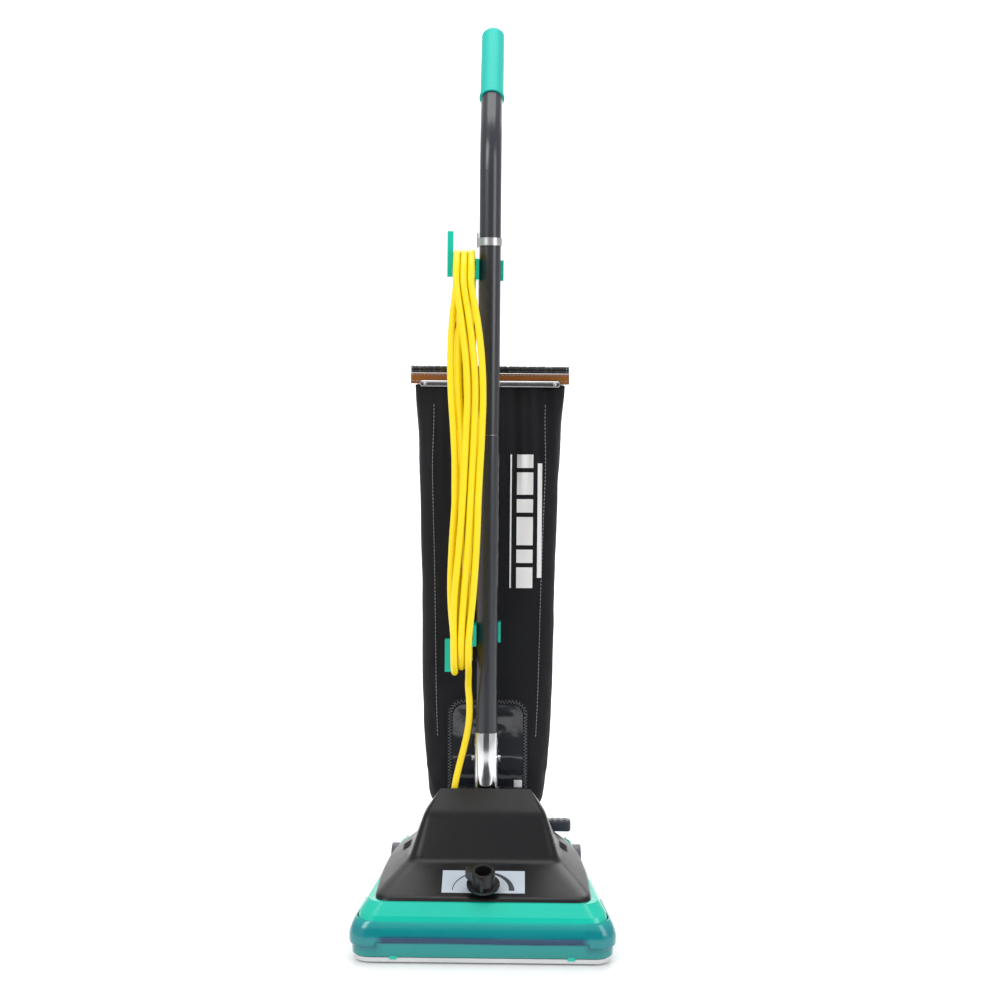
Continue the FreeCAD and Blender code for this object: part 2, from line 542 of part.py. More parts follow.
y0, y1, zt = q[0].y, q[1].y, min(q[0].z, q[1].z) - 0.6
neck_rings = [ring([(hw, f), (hw, b), (-hw, b), (-hw, f)], [r] * 4, z) for hw, f, b, r, z in (
    (50, 216, 268, 18, 122), (69, 226, 281, 20, 131), (75, 221, 290, 22, 150), (78, y0 + 2, y1 - 3, 24, zt))]
feature("bag_neck", Part.makeLoft(neck_low + neck_rings, True, True))
collar = cut(cyl("$duct_dia / 2 + 2.2", 19.6, 0, "$duct_y", 92.4), cyl("$duct_dia / 2 + 0.1", 40, 0, "$duct_y", 85))
node("bag_collar", collar)
band = box(216, 8, 15.5, -108, 78, 626.5)
node("bag_top_band", local(band))
node("bag_closure_channel", local(cut(box(216, 12, 12, -108, 76, 640), box(220, 8.6, 11, -110, 77.7, 633))))
node("bag_clamp_bar", local(box(190, 2.4, 8, -95, 71.4, 622.5)))
hook_top = at(-12.2, 15.2, 815)
spring_low = at(-12.2, 82, 653)
sv = hook_top - spring_low
sr = Part.makeCylinder(4.2, sv.Length * 0.55, spring_low + sv * 0.22, sv).fuse(
    Part.makeCylinder(1.2, sv.Length * 0.995, spring_low, sv))
feature("bag_spring", sr)
node("bag_window", local(box(98, 3.2, 70, -46, 27.2, 124)))

# ------------------------------------------------------- pedal and switch
pedal = fuse(box(58, 16, 17, 60, 285.5, 77.5), box(8, 26, 9, 57, 264, 81.5), cyl(7.2, 8, 57, "262", "86", RX))
release_pedal = node("release_pedal", cut(pedal, cyl(4.05, 60, 40, 262, 86, RX)))
pedal_rod = node("pedal_rod", fuse(cyl(4, 19, 47, 262, 86, RX), box(4, 18, 22.5, 50, 253, 72.6), cyl(6, 1.6, 65.4, 262, 86, RX)))
pedal_spring = node("pedal_spring", cut(cyl(6.4, 2.4, 54.3, 262, 86, RX), cyl(4.2, 10, 50, 262, 86, RX)))
switch_body = node("power_switch", fuse(cut(box(30, 24, 14, -46, 260, 72.6), box(26, 20, 14, -44, 262, 75)),
                                        cyl(1.5, 28, -45, 272, 82, RX)))
rocker = cut(fuse(box(25, 18, 6, -43.5, 263, 82.0), cyl(4, 25, -43.5, 272, 82, RX)), cyl(1.55, 40, -50, 272, 82, RX))
switch_rocker = node("switch_rocker", rocker)

# ------------------------------------------------------------------- cord
hank_y = -22.0


def racetrack(r, x, long):
    lo, hi = 246.0, 802.0
    top, bot = hi - 49.5, lo + 49.5
    p = [Vector(x, hank_y - r, bot), Vector(x, hank_y - r, top), Vector(x, hank_y + r, top), Vector(x, hank_y + r, bot)]
    w = Part.Wire([Part.LineSegment(p[0], p[1]).toShape(), Part.Arc(p[1], Vector(x, hank_y, top + r), p[2]).toShape(),
                   Part.LineSegment(p[2], p[3]).toShape(), Part.Arc(p[3], Vector(x, hank_y, bot - r), p[0]).toShape()])
    return Part.Face(w).extrude(Vector(long, 0, 0))


hank = racetrack(49.5, -46.5, 28.0).cut(racetrack(22.5, -70, 60))
F4 = feature("cord_hank", hank)
tie = Part.makeBox(31.4, 30.4, 8, Vector(-48.2, hank_y + 20.8, 700)).cut(
    Part.makeBox(28.2, 27.2, 10, Vector(-46.6, hank_y + 22.4, 699)))
F5 = feature("cord_tie", tie)
plug = Part.makeCylinder(12.5, 30, Vector(-33, -22, 520), up_z).fuse(Part.makeCone(12.5, 6, 18, Vector(-33, -22, 550), up_z))
plug = plug.fuse(Part.makeBox(1.6, 6.5, 16, Vector(-39.2, -25.2, 504.5))).fuse(Part.makeBox(1.6, 6.5, 16, Vector(-28.4, -25.2, 504.5)))
F6 = feature("cord_plug", plug)
for f in (F1, F2, F3, F4, F5, F6):
    f.Placement = lean
gland = fuse(cyl(7, 15, -44, 179.3, 100.05), cone(6.4, 5.6, 16, -44, 179.3, 115))
node("cord_gland", gland)
ROUTE = [(-32.0, 178.5, 331.0), (-25.5, 183.5, 312), (-22.0, 188.0, 286), (-23.0, 189.6, 258), (-28.5, 188.4, 230),
         (-35.5, 185.2, 203), (-41.3, 181.4, 177), (-44.0, 179.3, 152), (-44.0, 179.3, 131.2)]


def rounded_route(points):
    pts = [Vector(*p) for p in points]
    lens = [(b - a).Length for a, b in zip(pts, pts[1:])]
    edges, here, radii = [], pts[0], []
    for i in range(1, len(pts) - 1):
        a, b = (pts[i - 1] - pts[i]).normalize(), (pts[i + 1] - pts[i]).normalize()
        turn = math.pi - a.getAngle(b)
        t = 0.45 * min(lens[i - 1], lens[i])
        r = t / math.tan(turn / 2)
        radii.append(round(r, 1))
        mid = (a + b).normalize()
        m = pts[i] + mid * (math.hypot(r, t) - r)
        edges.append(Part.LineSegment(here, pts[i] + a * t).toShape())
        edges.append(Part.Arc(pts[i] + a * t, m, pts[i] + b * t).toShape())
        here = pts[i] + b * t
    edges.append(Part.LineSegment(here, pts[-1]).toShape())
    return Part.Wire(edges), radii


tail_path, tail_radii = rounded_route(ROUTE)
first = (Vector(*ROUTE[1]) - Vector(*ROUTE[0])).normalize()
tail = swept(tail_path, D["cord_dia"] / 2, Vector(*ROUTE[0]), first)
print("cord tail radii", tail_radii, "length", round(tail_path.Length, 1), "volume ratio",
      round(tail.Volume / (math.pi * D["cord_dia"] ** 2 / 4 * tail_path.Length), 4))
feature("cord_tail", tail)


# ------------------------------------------------------------------ finish
doc.recompute()
for label, obj in nodes:
    p = obj.Placement
    p.Base = p.Base + Vector(0, -D["origin_back"], 0)
    obj.Placement = p
for label, obj in nodes:
    obj.setExpression("Placement.Base.y", "%.6f - Sheet.origin_back" % (obj.Placement.Base.y + D["origin_back"]))
doc.recompute()
bad = [o.Name + " " + str(o.State) for o in doc.Objects if "Invalid" in o.State or "Error" in o.State]
for label, obj in nodes:
    shape = obj.Shape
    if shape.isNull() or not shape.isValid() or not shape.Solids:
        bad.append(label + " shape null, invalid or without a solid")
if bad:
    raise RuntimeError("; ".join(bad))
low, high = [1e9] * 3, [-1e9] * 3
for label, obj in nodes:
    b = obj.Shape.BoundBox
    if label not in ("cord_tail", "cord_hank", "cord_plug", "cord_tie"):
        low = [min(a, c) for a, c in zip(low, (b.XMin, b.YMin, b.ZMin))]
        high = [max(a, c) for a, c in zip(high, (b.XMax, b.YMax, b.ZMax))]
    print("%-20s solids %d volume %10.0f  x %7.1f %7.1f  y %7.1f %7.1f  z %7.1f %7.1f" % (
        label, len(obj.Shape.Solids), obj.Shape.Volume, b.XMin, b.XMax, b.YMin, b.YMax, b.ZMin, b.ZMax))
    obj.Shape.exportStep("parts/%s.step" % label)
print("overall box without the cord", [round(v, 3) for v in low], [round(v, 3) for v in high])
print("origin should move back by", round((low[1] + high[1]) / 2, 4), "and up by", round(low[2], 4))
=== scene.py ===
"""Upright vacuum cleaner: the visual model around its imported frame.

Lengths in the shape code are millimetres in the maker's own axes (x across, y back from the bumper's front, z up)
or, for what is on the handle, along the handle: x across, yl back from the tube's axis, zl up the tube from the pivot.
"""
import math
import random

import bmesh
import bpy
from mathutils import Matrix, Vector, noise


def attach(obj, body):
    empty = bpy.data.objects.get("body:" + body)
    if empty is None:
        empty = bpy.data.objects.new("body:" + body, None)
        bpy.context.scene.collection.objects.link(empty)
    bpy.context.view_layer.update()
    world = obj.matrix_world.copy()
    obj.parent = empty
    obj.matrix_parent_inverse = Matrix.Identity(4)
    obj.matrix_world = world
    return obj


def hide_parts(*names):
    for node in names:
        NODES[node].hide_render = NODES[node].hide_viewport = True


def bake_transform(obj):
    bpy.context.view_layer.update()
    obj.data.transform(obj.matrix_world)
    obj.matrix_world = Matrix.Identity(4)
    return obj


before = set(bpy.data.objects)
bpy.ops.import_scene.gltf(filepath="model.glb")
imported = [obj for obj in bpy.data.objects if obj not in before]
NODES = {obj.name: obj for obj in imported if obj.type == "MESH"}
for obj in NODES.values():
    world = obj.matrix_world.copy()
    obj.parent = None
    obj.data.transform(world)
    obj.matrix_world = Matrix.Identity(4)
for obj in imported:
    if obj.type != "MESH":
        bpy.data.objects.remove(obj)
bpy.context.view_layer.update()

BACK = 188.306
LEAN = math.radians(3)
C3, S3 = math.cos(LEAN), math.sin(LEAN)


def W(x, y, z):
    return Vector((x / 1000, (y - BACK) / 1000, z / 1000))


def H(x, yl, zl):
    return W(x, 186.1 + yl * C3 + zl * S3, 84 - yl * S3 + zl * C3)


# ---------------------------------------------------------------- materials
class Nodes:
    """Small helper that builds one node material."""

    def __init__(self, name):
        self.m = bpy.data.materials.new(name)
        self.m.use_nodes = True
        self.t = self.m.node_tree
        self.t.nodes.clear()
        self.out = self.t.nodes.new("ShaderNodeOutputMaterial")
        self.b = self.t.nodes.new("ShaderNodeBsdfPrincipled")
        self.t.links.new(self.b.outputs[0], self.out.inputs[0])
        self.tc = self.t.nodes.new("ShaderNodeTexCoord")

    def new(self, kind, **k):
        n = self.t.nodes.new(kind)
        for a, v in k.items():
            if a.startswith("_"):
                n.inputs[a[1:]].default_value = v
            else:
                setattr(n, a, v)
        return n

    def link(self, a, b):
        self.t.links.new(a, b)

    def coords(self, scale=(1, 1, 1), rot=(0, 0, 0)):
        mp = self.new("ShaderNodeMapping")
        mp.inputs["Scale"].default_value = scale
        mp.inputs["Rotation"].default_value = rot
        self.link(self.tc.outputs["Object"], mp.inputs[0])
        return mp.outputs[0]

    def noise(self, scale, detail=4, rough=0.55, vec=None):
        n = self.new("ShaderNodeTexNoise")
        n.inputs["Scale"].default_value = scale
        n.inputs["Detail"].default_value = detail
        n.inputs["Roughness"].default_value = rough
        self.link(vec if vec is not None else self.tc.outputs["Object"], n.inputs["Vector"])
        return n.outputs["Fac"]

    def wave(self, scale, axis, distort=0.0, vec=None, profile="SIN"):
        n = self.new("ShaderNodeTexWave", wave_type="BANDS", bands_direction=axis, wave_profile=profile)
        n.inputs["Scale"].default_value = scale
        n.inputs["Distortion"].default_value = distort
        self.link(vec if vec is not None else self.tc.outputs["Object"], n.inputs["Vector"])
        return n.outputs["Fac"]

    def math(self, op, a, b):
        n = self.new("ShaderNodeMath", operation=op)
        for i, v in enumerate((a, b)):
            if isinstance(v, (int, float)):
                n.inputs[i].default_value = v
            else:
                self.link(v, n.inputs[i])
        return n.outputs[0]

    def ramp(self, fac, stops):
        n = self.new("ShaderNodeValToRGB")
        e = n.color_ramp.elements
        while len(e) < len(stops):
            e.new(0.5)
        for el, (p, c) in zip(e, stops):
            el.position, el.color = p, (*c, 1)
        self.link(fac, n.inputs[0])
        return n.outputs[0]

    def spread(self, fac, low, high):
        n = self.new("ShaderNodeMapRange")
        n.inputs["To Min"].default_value = low
        n.inputs["To Max"].default_value = high
        self.link(fac, n.inputs[0])
        return n.outputs[0]

    def bump(self, height, strength, distance):
        n = self.new("ShaderNodeBump")
        n.inputs["Strength"].default_value = strength
        n.inputs["Distance"].default_value = distance
        self.link(height, n.inputs["Height"])
        self.link(n.outputs[0], self.b.inputs["Normal"])

    def const(self, **k):
        for a, v in k.items():
            self.b.inputs[a.replace("_", " ")].default_value = v


def tint(c, f):
    return tuple(min(1, max(0, v * f)) for v in c)


def plastic(name, colour, rough=0.3, vary=0.12, grain=700, bump=0.12, distance=0.00012, wear=6, metallic=0.0, spec=0.5, **extra):
    n = Nodes(name)
    cloud = n.noise(wear, 5, 0.6)
    fine = n.noise(grain, 2, 0.5)
    mix = n.math("ADD", n.math("MULTIPLY", cloud, 0.8), n.math("MULTIPLY", fine, 0.2))
    n.link(n.ramp(mix, [(0.3, tint(colour, 1 - vary)), (0.7, tint(colour, 1 + vary))]), n.b.inputs["Base Color"])
    scuff = n.noise(38, 6, 0.7)
    n.link(n.spread(scuff, max(0.02, rough - 0.07), rough + 0.09), n.b.inputs["Roughness"])
    n.bump(fine, bump, distance)
    n.const(Metallic=metallic)
    n.b.inputs["Specular IOR Level"].default_value = spec
    for k, v in extra.items():
        n.b.inputs[k.replace("_", " ")].default_value = v
    return n.m


def cloth(name, colour, per_m=1000, rough=0.9, depth=0.00035, sheen=0.15, vec_rot=(0, 0, 0)):
    n = Nodes(name)
    v = n.coords((1, 1, 1), vec_rot)
    a = n.wave(per_m, "X", 0.6, v)
    b = n.wave(per_m, "Z", 0.6, v)
    w = n.math("MULTIPLY", a, b)
    cloud = n.noise(14, 4)
    slub = n.noise(260, 3)
    mix = n.math("ADD", n.math("MULTIPLY", w, 0.45), n.math("ADD", n.math("MULTIPLY", cloud, 0.35), n.math("MULTIPLY", slub, 0.2)))
    n.link(n.ramp(mix, [(0.15, tint(colour, 0.55)), (0.55, colour), (0.85, tint(colour, 1.7))]), n.b.inputs["Base Color"])
    n.link(n.spread(cloud, rough - 0.12, min(1, rough + 0.05)), n.b.inputs["Roughness"])
    n.bump(n.math("ADD", w, n.math("MULTIPLY", slub, 0.5)), 0.5, depth)
    n.b.inputs["Sheen Weight"].default_value = sheen
    n.b.inputs["Sheen Roughness"].default_value = 0.5
    n.b.inputs["Specular IOR Level"].default_value = 0.3
    return n.m


def metal(name, colour, rough=0.25, brushed=None, bump=0.1):
    n = Nodes(name)
    vec = n.coords((1, 1, 0.04)) if brushed else None
    fine = n.noise(900, 3, 0.6, vec)
    cloud = n.noise(25, 4)
    n.link(n.ramp(cloud, [(0.3, tint(colour, 0.88)), (0.7, tint(colour, 1.06))]), n.b.inputs["Base Color"])
    n.link(n.spread(n.math("ADD", n.math("MULTIPLY", fine, 0.5), n.math("MULTIPLY", cloud, 0.5)), rough * 0.7, rough * 1.35), n.b.inputs["Roughness"])
    n.bump(fine, bump, 0.00006)
    n.const(Metallic=1.0)
    return n.m


TEAL = (0.0, 0.49, 0.365)
M = {
    "teal_plastic": plastic("housing teal", TEAL, 0.2, 0.07, 500, 0.05, Coat_Weight=0.2, Coat_Roughness=0.12),
    "teal_clear": plastic("bumper translucent teal", (0.0, 0.24, 0.26), 0.16, 0.18, 300, 0.05, Coat_Weight=0.5, Coat_Roughness=0.08, Transmission_Weight=0.25, IOR=1.45),
    "black_plastic": plastic("satin black moulding", (0.009, 0.009, 0.011), 0.3, 0.15, 900, 0.25, 0.0001),
    "dark_plastic": plastic("slate moulding", (0.04, 0.046, 0.065), 0.42, 0.15, 800, 0.3, 0.00015),
    "grey_plastic": plastic("pale grey moulding", (0.62, 0.63, 0.65), 0.4, 0.08, 600, 0.15),
    "tube_paint": plastic("tube enamel", (0.016, 0.0185, 0.026), 0.3, 0.05, 1600, 0.06, 0.00004, Coat_Weight=0.4, Coat_Roughness=0.2),
    "chrome": metal("chrome plate", (0.8, 0.81, 0.83), 0.12, None, 0.04),
    "steel": metal("zinc plated steel", (0.56, 0.56, 0.58), 0.32, True, 0.15),
    "label": plastic("printed label", (0.47, 0.53, 0.6), 0.38, 0.05, 1500, 0.12, 0.00005),
    "bag_fabric": cloth("bag twill", (0.0085, 0.009, 0.0125), 750, 0.9, 0.0003, 0.05),
    "brown_board": cloth("brown tape", (0.30, 0.105, 0.018), 420, 0.8, 0.0004),
    "clear_vinyl": plastic("clear vinyl over dark lining", (0.02, 0.022, 0.028), 0.1, 0.25, 60, 0.35, 0.0009, Coat_Weight=1.0, Coat_Roughness=0.04),
    "cord_yellow": plastic("cord jacket", (0.93, 0.70, 0.0), 0.38, 0.05, 900, 0.15, 0.00012, Coat_Weight=0.15, Coat_Roughness=0.3),
    "black_rubber": plastic("black rubber", (0.014, 0.014, 0.014), 0.6, 0.2, 900, 0.35, 0.0002),
    "copper_core": metal("laminations and winding", (0.45, 0.26, 0.15), 0.4, True, 0.3),
    "bristle": plastic("bristle tufts", (0.02, 0.02, 0.024), 0.6, 0.3, 2500, 0.8, 0.0006),
    "grip_teal": plastic("grip sleeve", (0.0, 0.48, 0.40), 0.5, 0.08, 700, 0.4, 0.0003),
}


def wood():
    n = Nodes("lacquered beech")
    v = n.coords((0.15, 1, 1))
    g = n.noise(120, 5, 0.6, v)
    n.link(n.ramp(g, [(0.3, (0.26, 0.14, 0.06)), (0.7, (0.5, 0.32, 0.16))]), n.b.inputs["Base Color"])
    n.link(n.spread(g, 0.25, 0.42), n.b.inputs["Roughness"])
    n.bump(g, 0.25, 0.0002)
    return n.m


M["wood_roll"] = wood()
SLOT = {
    "base_housing": "teal_plastic", "front_bumper": "teal_clear", "soleplate": "grey_plastic", "belly_pan": "black_plastic",
    "soleplate_screws": "steel", "motor_hood": "black_plastic", "height_label": "label", "height_knob": "black_plastic",
    "knob_bush": "grey_plastic", "motor_case": "dark_plastic", "motor_field_core": "copper_core", "armature": "copper_core",
    "carbon_brushes": "dark_plastic", "motor_bearings": "steel", "motor_pulley": "steel", "suction_fan": "grey_plastic",
    "fan_housing": "dark_plastic", "exhaust_duct": "dark_plastic", "bag_clamp": "steel", "brush_roll": "wood_roll",
    "brush_bristles": "bristle", "brush_end_caps": "black_plastic", "drive_belt": "black_rubber",
    "rear_wheel_right": "dark_plastic", "rear_wheel_left": "dark_plastic", "rear_axle": "steel",
    "front_wheel_carriage": "steel", "front_axle": "steel", "front_wheel_right": "dark_plastic", "front_wheel_left": "dark_plastic",
    "carriage_rod": "steel", "handle_bail": "chrome", "bail_pivots": "steel", "lower_tube": "tube_paint",
    "upper_tube": "tube_paint", "tube_joint_sleeve": "steel", "hand_grip": "grip_teal", "handle_bolt": "chrome",
    "upper_cord_hook": "teal_plastic", "lower_cord_hook": "teal_plastic", "hook_screws": "steel", "bag_hanger_clip": "steel",
    "filter_bag": "bag_fabric", "bag_neck": "bag_fabric", "bag_collar": "black_rubber", "bag_top_band": "brown_board",
    "bag_closure_channel": "black_plastic", "bag_clamp_bar": "chrome", "bag_spring": "steel", "bag_window": "clear_vinyl",
    "release_pedal": "dark_plastic", "pedal_rod": "steel", "pedal_spring": "steel", "power_switch": "black_plastic",
    "switch_rocker": "dark_plastic", "cord_hank": "cord_yellow", "cord_tie": "black_rubber",
    "cord_plug": "cord_yellow", "cord_gland": "black_rubber", "cord_tail": "cord_yellow",
}
for name, o in NODES.items():
    m = M[SLOT[name]]
    o.data.materials.clear()
    o.data.materials.append(m)
    for s in o.material_slots:
        s.material = m


for name, width in (("upper_cord_hook", 0.9), ("lower_cord_hook", 0.9), ("height_knob", 0.45), ("soleplate", 0.5),
                    ("power_switch", 0.8), ("switch_rocker", 0.6), ("handle_bail", 0.5), ("front_wheel_left", 0.9),
                    ("front_wheel_right", 0.9), ("rear_wheel_left", 1.6), ("rear_wheel_right", 1.6)):
    w = NODES[name].modifiers.new("weld", "WELD")
    w.merge_threshold = 0.00002
    b = NODES[name].modifiers.new("edge", "BEVEL")
    b.width, b.segments, b.limit_method, b.angle_limit, b.harden_normals = width / 1000, 3, "ANGLE", math.radians(38), False


# ---------------------------------------------------------------- mesh helpers
def piece(name, verts, faces, slot, smooth=True, angle=40):
    me = bpy.data.meshes.new(name)
    me.from_pydata([tuple(v) for v in verts], [], faces)
    me.validate()
    bm = bmesh.new()
    bm.from_mesh(me)
    bmesh.ops.recalc_face_normals(bm, faces=bm.faces)
    bm.to_mesh(me)
    bm.free()
    o = bpy.data.objects.new(name, me)
    bpy.context.scene.collection.objects.link(o)
    me.materials.append(M[slot] if isinstance(slot, str) else slot)
    if smooth:
        me.shade_smooth()
        if angle:
            me.set_sharp_from_angle(angle=math.radians(angle))
    return o


def skin(rings, closed=True, caps=True):
    """Vertices and faces through rings of the same number of points."""
    n = len(rings[0])
    verts = [p for r in rings for p in r]
    faces = []
    for i in range(len(rings) - 1):
        for j in range(n if closed else n - 1):
            a, b = i * n + j, i * n + (j + 1) % n
            faces.append((a, b, b + n, a + n))
    if caps and closed:
        faces.append(tuple(range(n - 1, -1, -1)))
        faces.append(tuple(range((len(rings) - 1) * n, len(rings) * n)))
    return verts, faces


def sweep(points, radius, sides=12, taper=None, caps=True):
    """A round tube whose rings are centred on points, with no twist between them."""
    pts = [Vector(p) for p in points]
    rings = []
    t = (pts[1] - pts[0]).normalized()
    u = t.orthogonal().normalized()
    for i, p in enumerate(pts):
        a, b = pts[max(0, i - 1)], pts[min(len(pts) - 1, i + 1)]
        t2 = (b - a).normalized()
        u = (u - t2 * u.dot(t2)).normalized()
        v = t2.cross(u)
        r = radius if taper is None else taper(i / (len(pts) - 1))
        rings.append([p + (u * math.cos(2 * math.pi * k / sides) + v * math.sin(2 * math.pi * k / sides)) * r for k in range(sides)])
    return skin(rings, True, caps)


def rounded(half_w, y0, y1, r, n=6):
    """Points of a rounded rectangle, x from -half_w to half_w and y from y0 to y1."""
    out = []
    for cx, cy, a0 in ((half_w - r, y0 + r, -90), (half_w - r, y1 - r, 0), (-half_w + r, y1 - r, 90), (-half_w + r, y0 + r, 180)):
        for k in range(n + 1):
            a = math.radians(a0 + 90 * k / n)
            out.append((cx + r * math.cos(a), cy + r * math.sin(a)))
    return out


def nurbs_points(points, steps=6):
    """The points of the smooth line that has these control points, read from an unbevelled curve."""
    cu = bpy.data.curves.new("line", "CURVE")
    cu.dimensions = "3D"
    sp = cu.splines.new("NURBS")
    sp.points.add(len(points) - 1)
    for q, p in zip(sp.points, points):
        q.co = (*p, 1)
    sp.order_u = 3
    sp.use_endpoint_u = True
    sp.resolution_u = steps
    ob = bpy.data.objects.new("line", cu)
    bpy.context.scene.collection.objects.link(ob)
    bpy.context.view_layer.update()
    me = bpy.data.meshes.new_from_object(ob)
    out = [v.co.copy() for v in me.vertices]
    bpy.data.objects.remove(ob)
    bpy.data.curves.remove(cu)
    bpy.data.meshes.remove(me)
    clean = [out[0]]
    for p in out[1:]:
        if (p - clean[-1]).length > 1e-5:
            clean.append(p)
    return clean


# ---------------------------------------------------------------- camera, floor and light
cam_data = bpy.data.cameras.new("camera")
cam_data.lens, cam_data.sensor_width = 60.1, 36
cam = bpy.data.objects.new("camera", cam_data)
bpy.context.scene.collection.objects.link(cam)
cam.matrix_world = (Matrix.Translation((0.036, -2.170, 0.838)) @ Matrix.Rotation(math.radians(0.53), 4, "Z")
                    @ Matrix.Rotation(math.radians(90 - 7.3), 4, "X") @ Matrix.Rotation(math.radians(0.46), 4, "Z"))
bpy.context.scene.camera = cam
bpy.context.scene.view_settings.view_transform = "Standard"

fl = Nodes("floor paper")
fl.link(fl.ramp(fl.noise(3, 4), [(0.3, (0.93, 0.93, 0.935)), (0.7, (0.955, 0.955, 0.957))]), fl.b.inputs["Base Color"])
fl.link(fl.spread(fl.noise(30, 3), 0.6, 0.75), fl.b.inputs["Roughness"])
floor_v, floor_f = [], []
rows = [(-14, 0), (2.6, 0)] + [(2.6 + 2 * math.sin(a), 2 - 2 * math.cos(a)) for a in [math.radians(9 * k) for k in range(1, 11)]] + [(4.6, 12)]
for y, z in rows:
    floor_v += [(-14, y, z), (14, y, z)]
floor_f = [(2 * i, 2 * i + 1, 2 * i + 3, 2 * i + 2) for i in range(len(rows) - 1)]
me = bpy.data.meshes.new("floor")
me.from_pydata(floor_v, [], floor_f)
me.shade_smooth()
me.materials.append(fl.m)
floor = bpy.data.objects.new("floor", me)
bpy.context.scene.collection.objects.link(floor)

world = bpy.data.worlds.new("studio")
bpy.context.scene.world = world
world.use_nodes = True
world.node_tree.nodes["Background"].inputs[0].default_value = (1, 1, 1, 1)
world.node_tree.nodes["Background"].inputs[1].default_value = 0.62


def soft_light(name, where, size, watts, aim=(0, 0, 0.45)):
    d = bpy.data.lights.new(name, "AREA")
    d.shape, d.size, d.size_y, d.energy = "RECTANGLE", size[0], size[1], watts
    o = bpy.data.objects.new(name, d)
    bpy.context.scene.collection.objects.link(o)
    o.location = where
    o.rotation_euler = (Vector(aim) - Vector(where)).to_track_quat("-Z", "Y").to_euler()


soft_light("key", (-1.7, -2.0, 2.3), (1.3, 1.6), 36)
soft_light("fill", (2.0, -1.7, 1.5), (1.2, 1.8), 20)
soft_light("top", (0.0, 0.3, 3.0), (2.2, 1.6), 30)
soft_light("backdrop", (0.0, 2.0, 3.4), (3.0, 1.0), 85, (0.0, 4.6, 1.3))
soft_light("back", (0.3, 2.4, 2.0), (1.8, 1.2), 22)

# a dark card beside the camera gives the chrome something to mirror
card_m = Nodes("dark card")
card_m.link(card_m.ramp(card_m.noise(2, 2), [(0.3, (0.02, 0.02, 0.022)), (0.7, (0.035, 0.035, 0.038))]), card_m.b.inputs["Base Color"])
me = bpy.data.meshes.new("dark_card")
me.from_pydata([(-1.5, -3.0, -0.1), (1.7, -3.0, -0.1), (1.7, -3.0, 1.25), (-1.5, -3.0, 1.25)], [], [(0, 1, 2, 3)])
me.materials.append(card_m.m)
card = bpy.data.objects.new("dark_card", me)
bpy.context.scene.collection.objects.link(card)
card.visible_camera = card.visible_diffuse = card.visible_shadow = False
me = bpy.data.meshes.new("dark_floor_card")
me.from_pydata([(-0.34, -1.15, 0.02), (0.42, -1.15, 0.02), (0.42, -0.30, 0.02), (-0.34, -0.30, 0.02)], [], [(0, 1, 2, 3)])
me.materials.append(card_m.m)
card2 = bpy.data.objects.new("dark_floor_card", me)
bpy.context.scene.collection.objects.link(card2)
card2.visible_camera = card2.visible_diffuse = card2.visible_shadow = False

# ---------------------------------------------------------------- cord
TAIL = [(-44.0, 179.3, 131.2), (-44.0, 179.3, 152), (-41.3, 181.4, 177), (-35.5, 185.2, 203), (-28.5, 188.4, 230),
        (-23.0, 189.6, 258), (-22.0, 188.0, 286), (-24.5, 183.5, 312)]
route = [W(*p) for p in TAIL] + [H(-23.5, -30.0, 244.5), H(-23.2, -42.0, 253.5)]
# Each turn: (radius of its end loops, column at the foot, front leg's columns on the way up, column at the top, foot height, rear leg)
UP = (0.12, 0.27, 0.42, 0.58, 0.73, 0.88)
TURNS = [
    (45, -23.2, (-17.5, -13.0, -11.5, -7.5, -5.8, -12.0), -23.2, 295.5),
    (45, -32.5, (-29.5, -24.0, -21.0, -17.5, -15.5, -22.5), -32.5, 299.0),
    (45, -41.8, (-42.5, -35.5, -31.0, -28.0, -25.5, -33.0), -41.8, 292.0),
    (36, -41.8, (-47.5, -45.5, -40.5, -43.5, -49.0, -48.5), -41.8, 297.5),
    (36, -32.5, (-37.0, -36.0, -31.0, -33.5, -39.0, -38.5), -32.5, 293.5),
    (36, -23.2, (-26.0, -26.5, -21.5, -23.5, -28.5, -29.0), -23.2, 300.0),
    (27, -23.2, (-19.0, -14.5, -12.5, -15.0, -19.0, -24.5), -23.2, 298.0),
    (27, -32.5, (-30.0, -25.5, -27.0, -31.0, -35.5, -36.0), -32.5, 301.5),
]
REAR = {2: ((-43.5, 22.0), (-45.8, 20.0), (-43.5, 16.5)), 5: ((-21.5, 12.5), (-20.0, 9.8), (-21.0, 7.0)), 6: ((-26.5, 5.0), (-30.5, 5.0), (-31.8, 5.0))}
MID, TOP = -22.0, 752.5
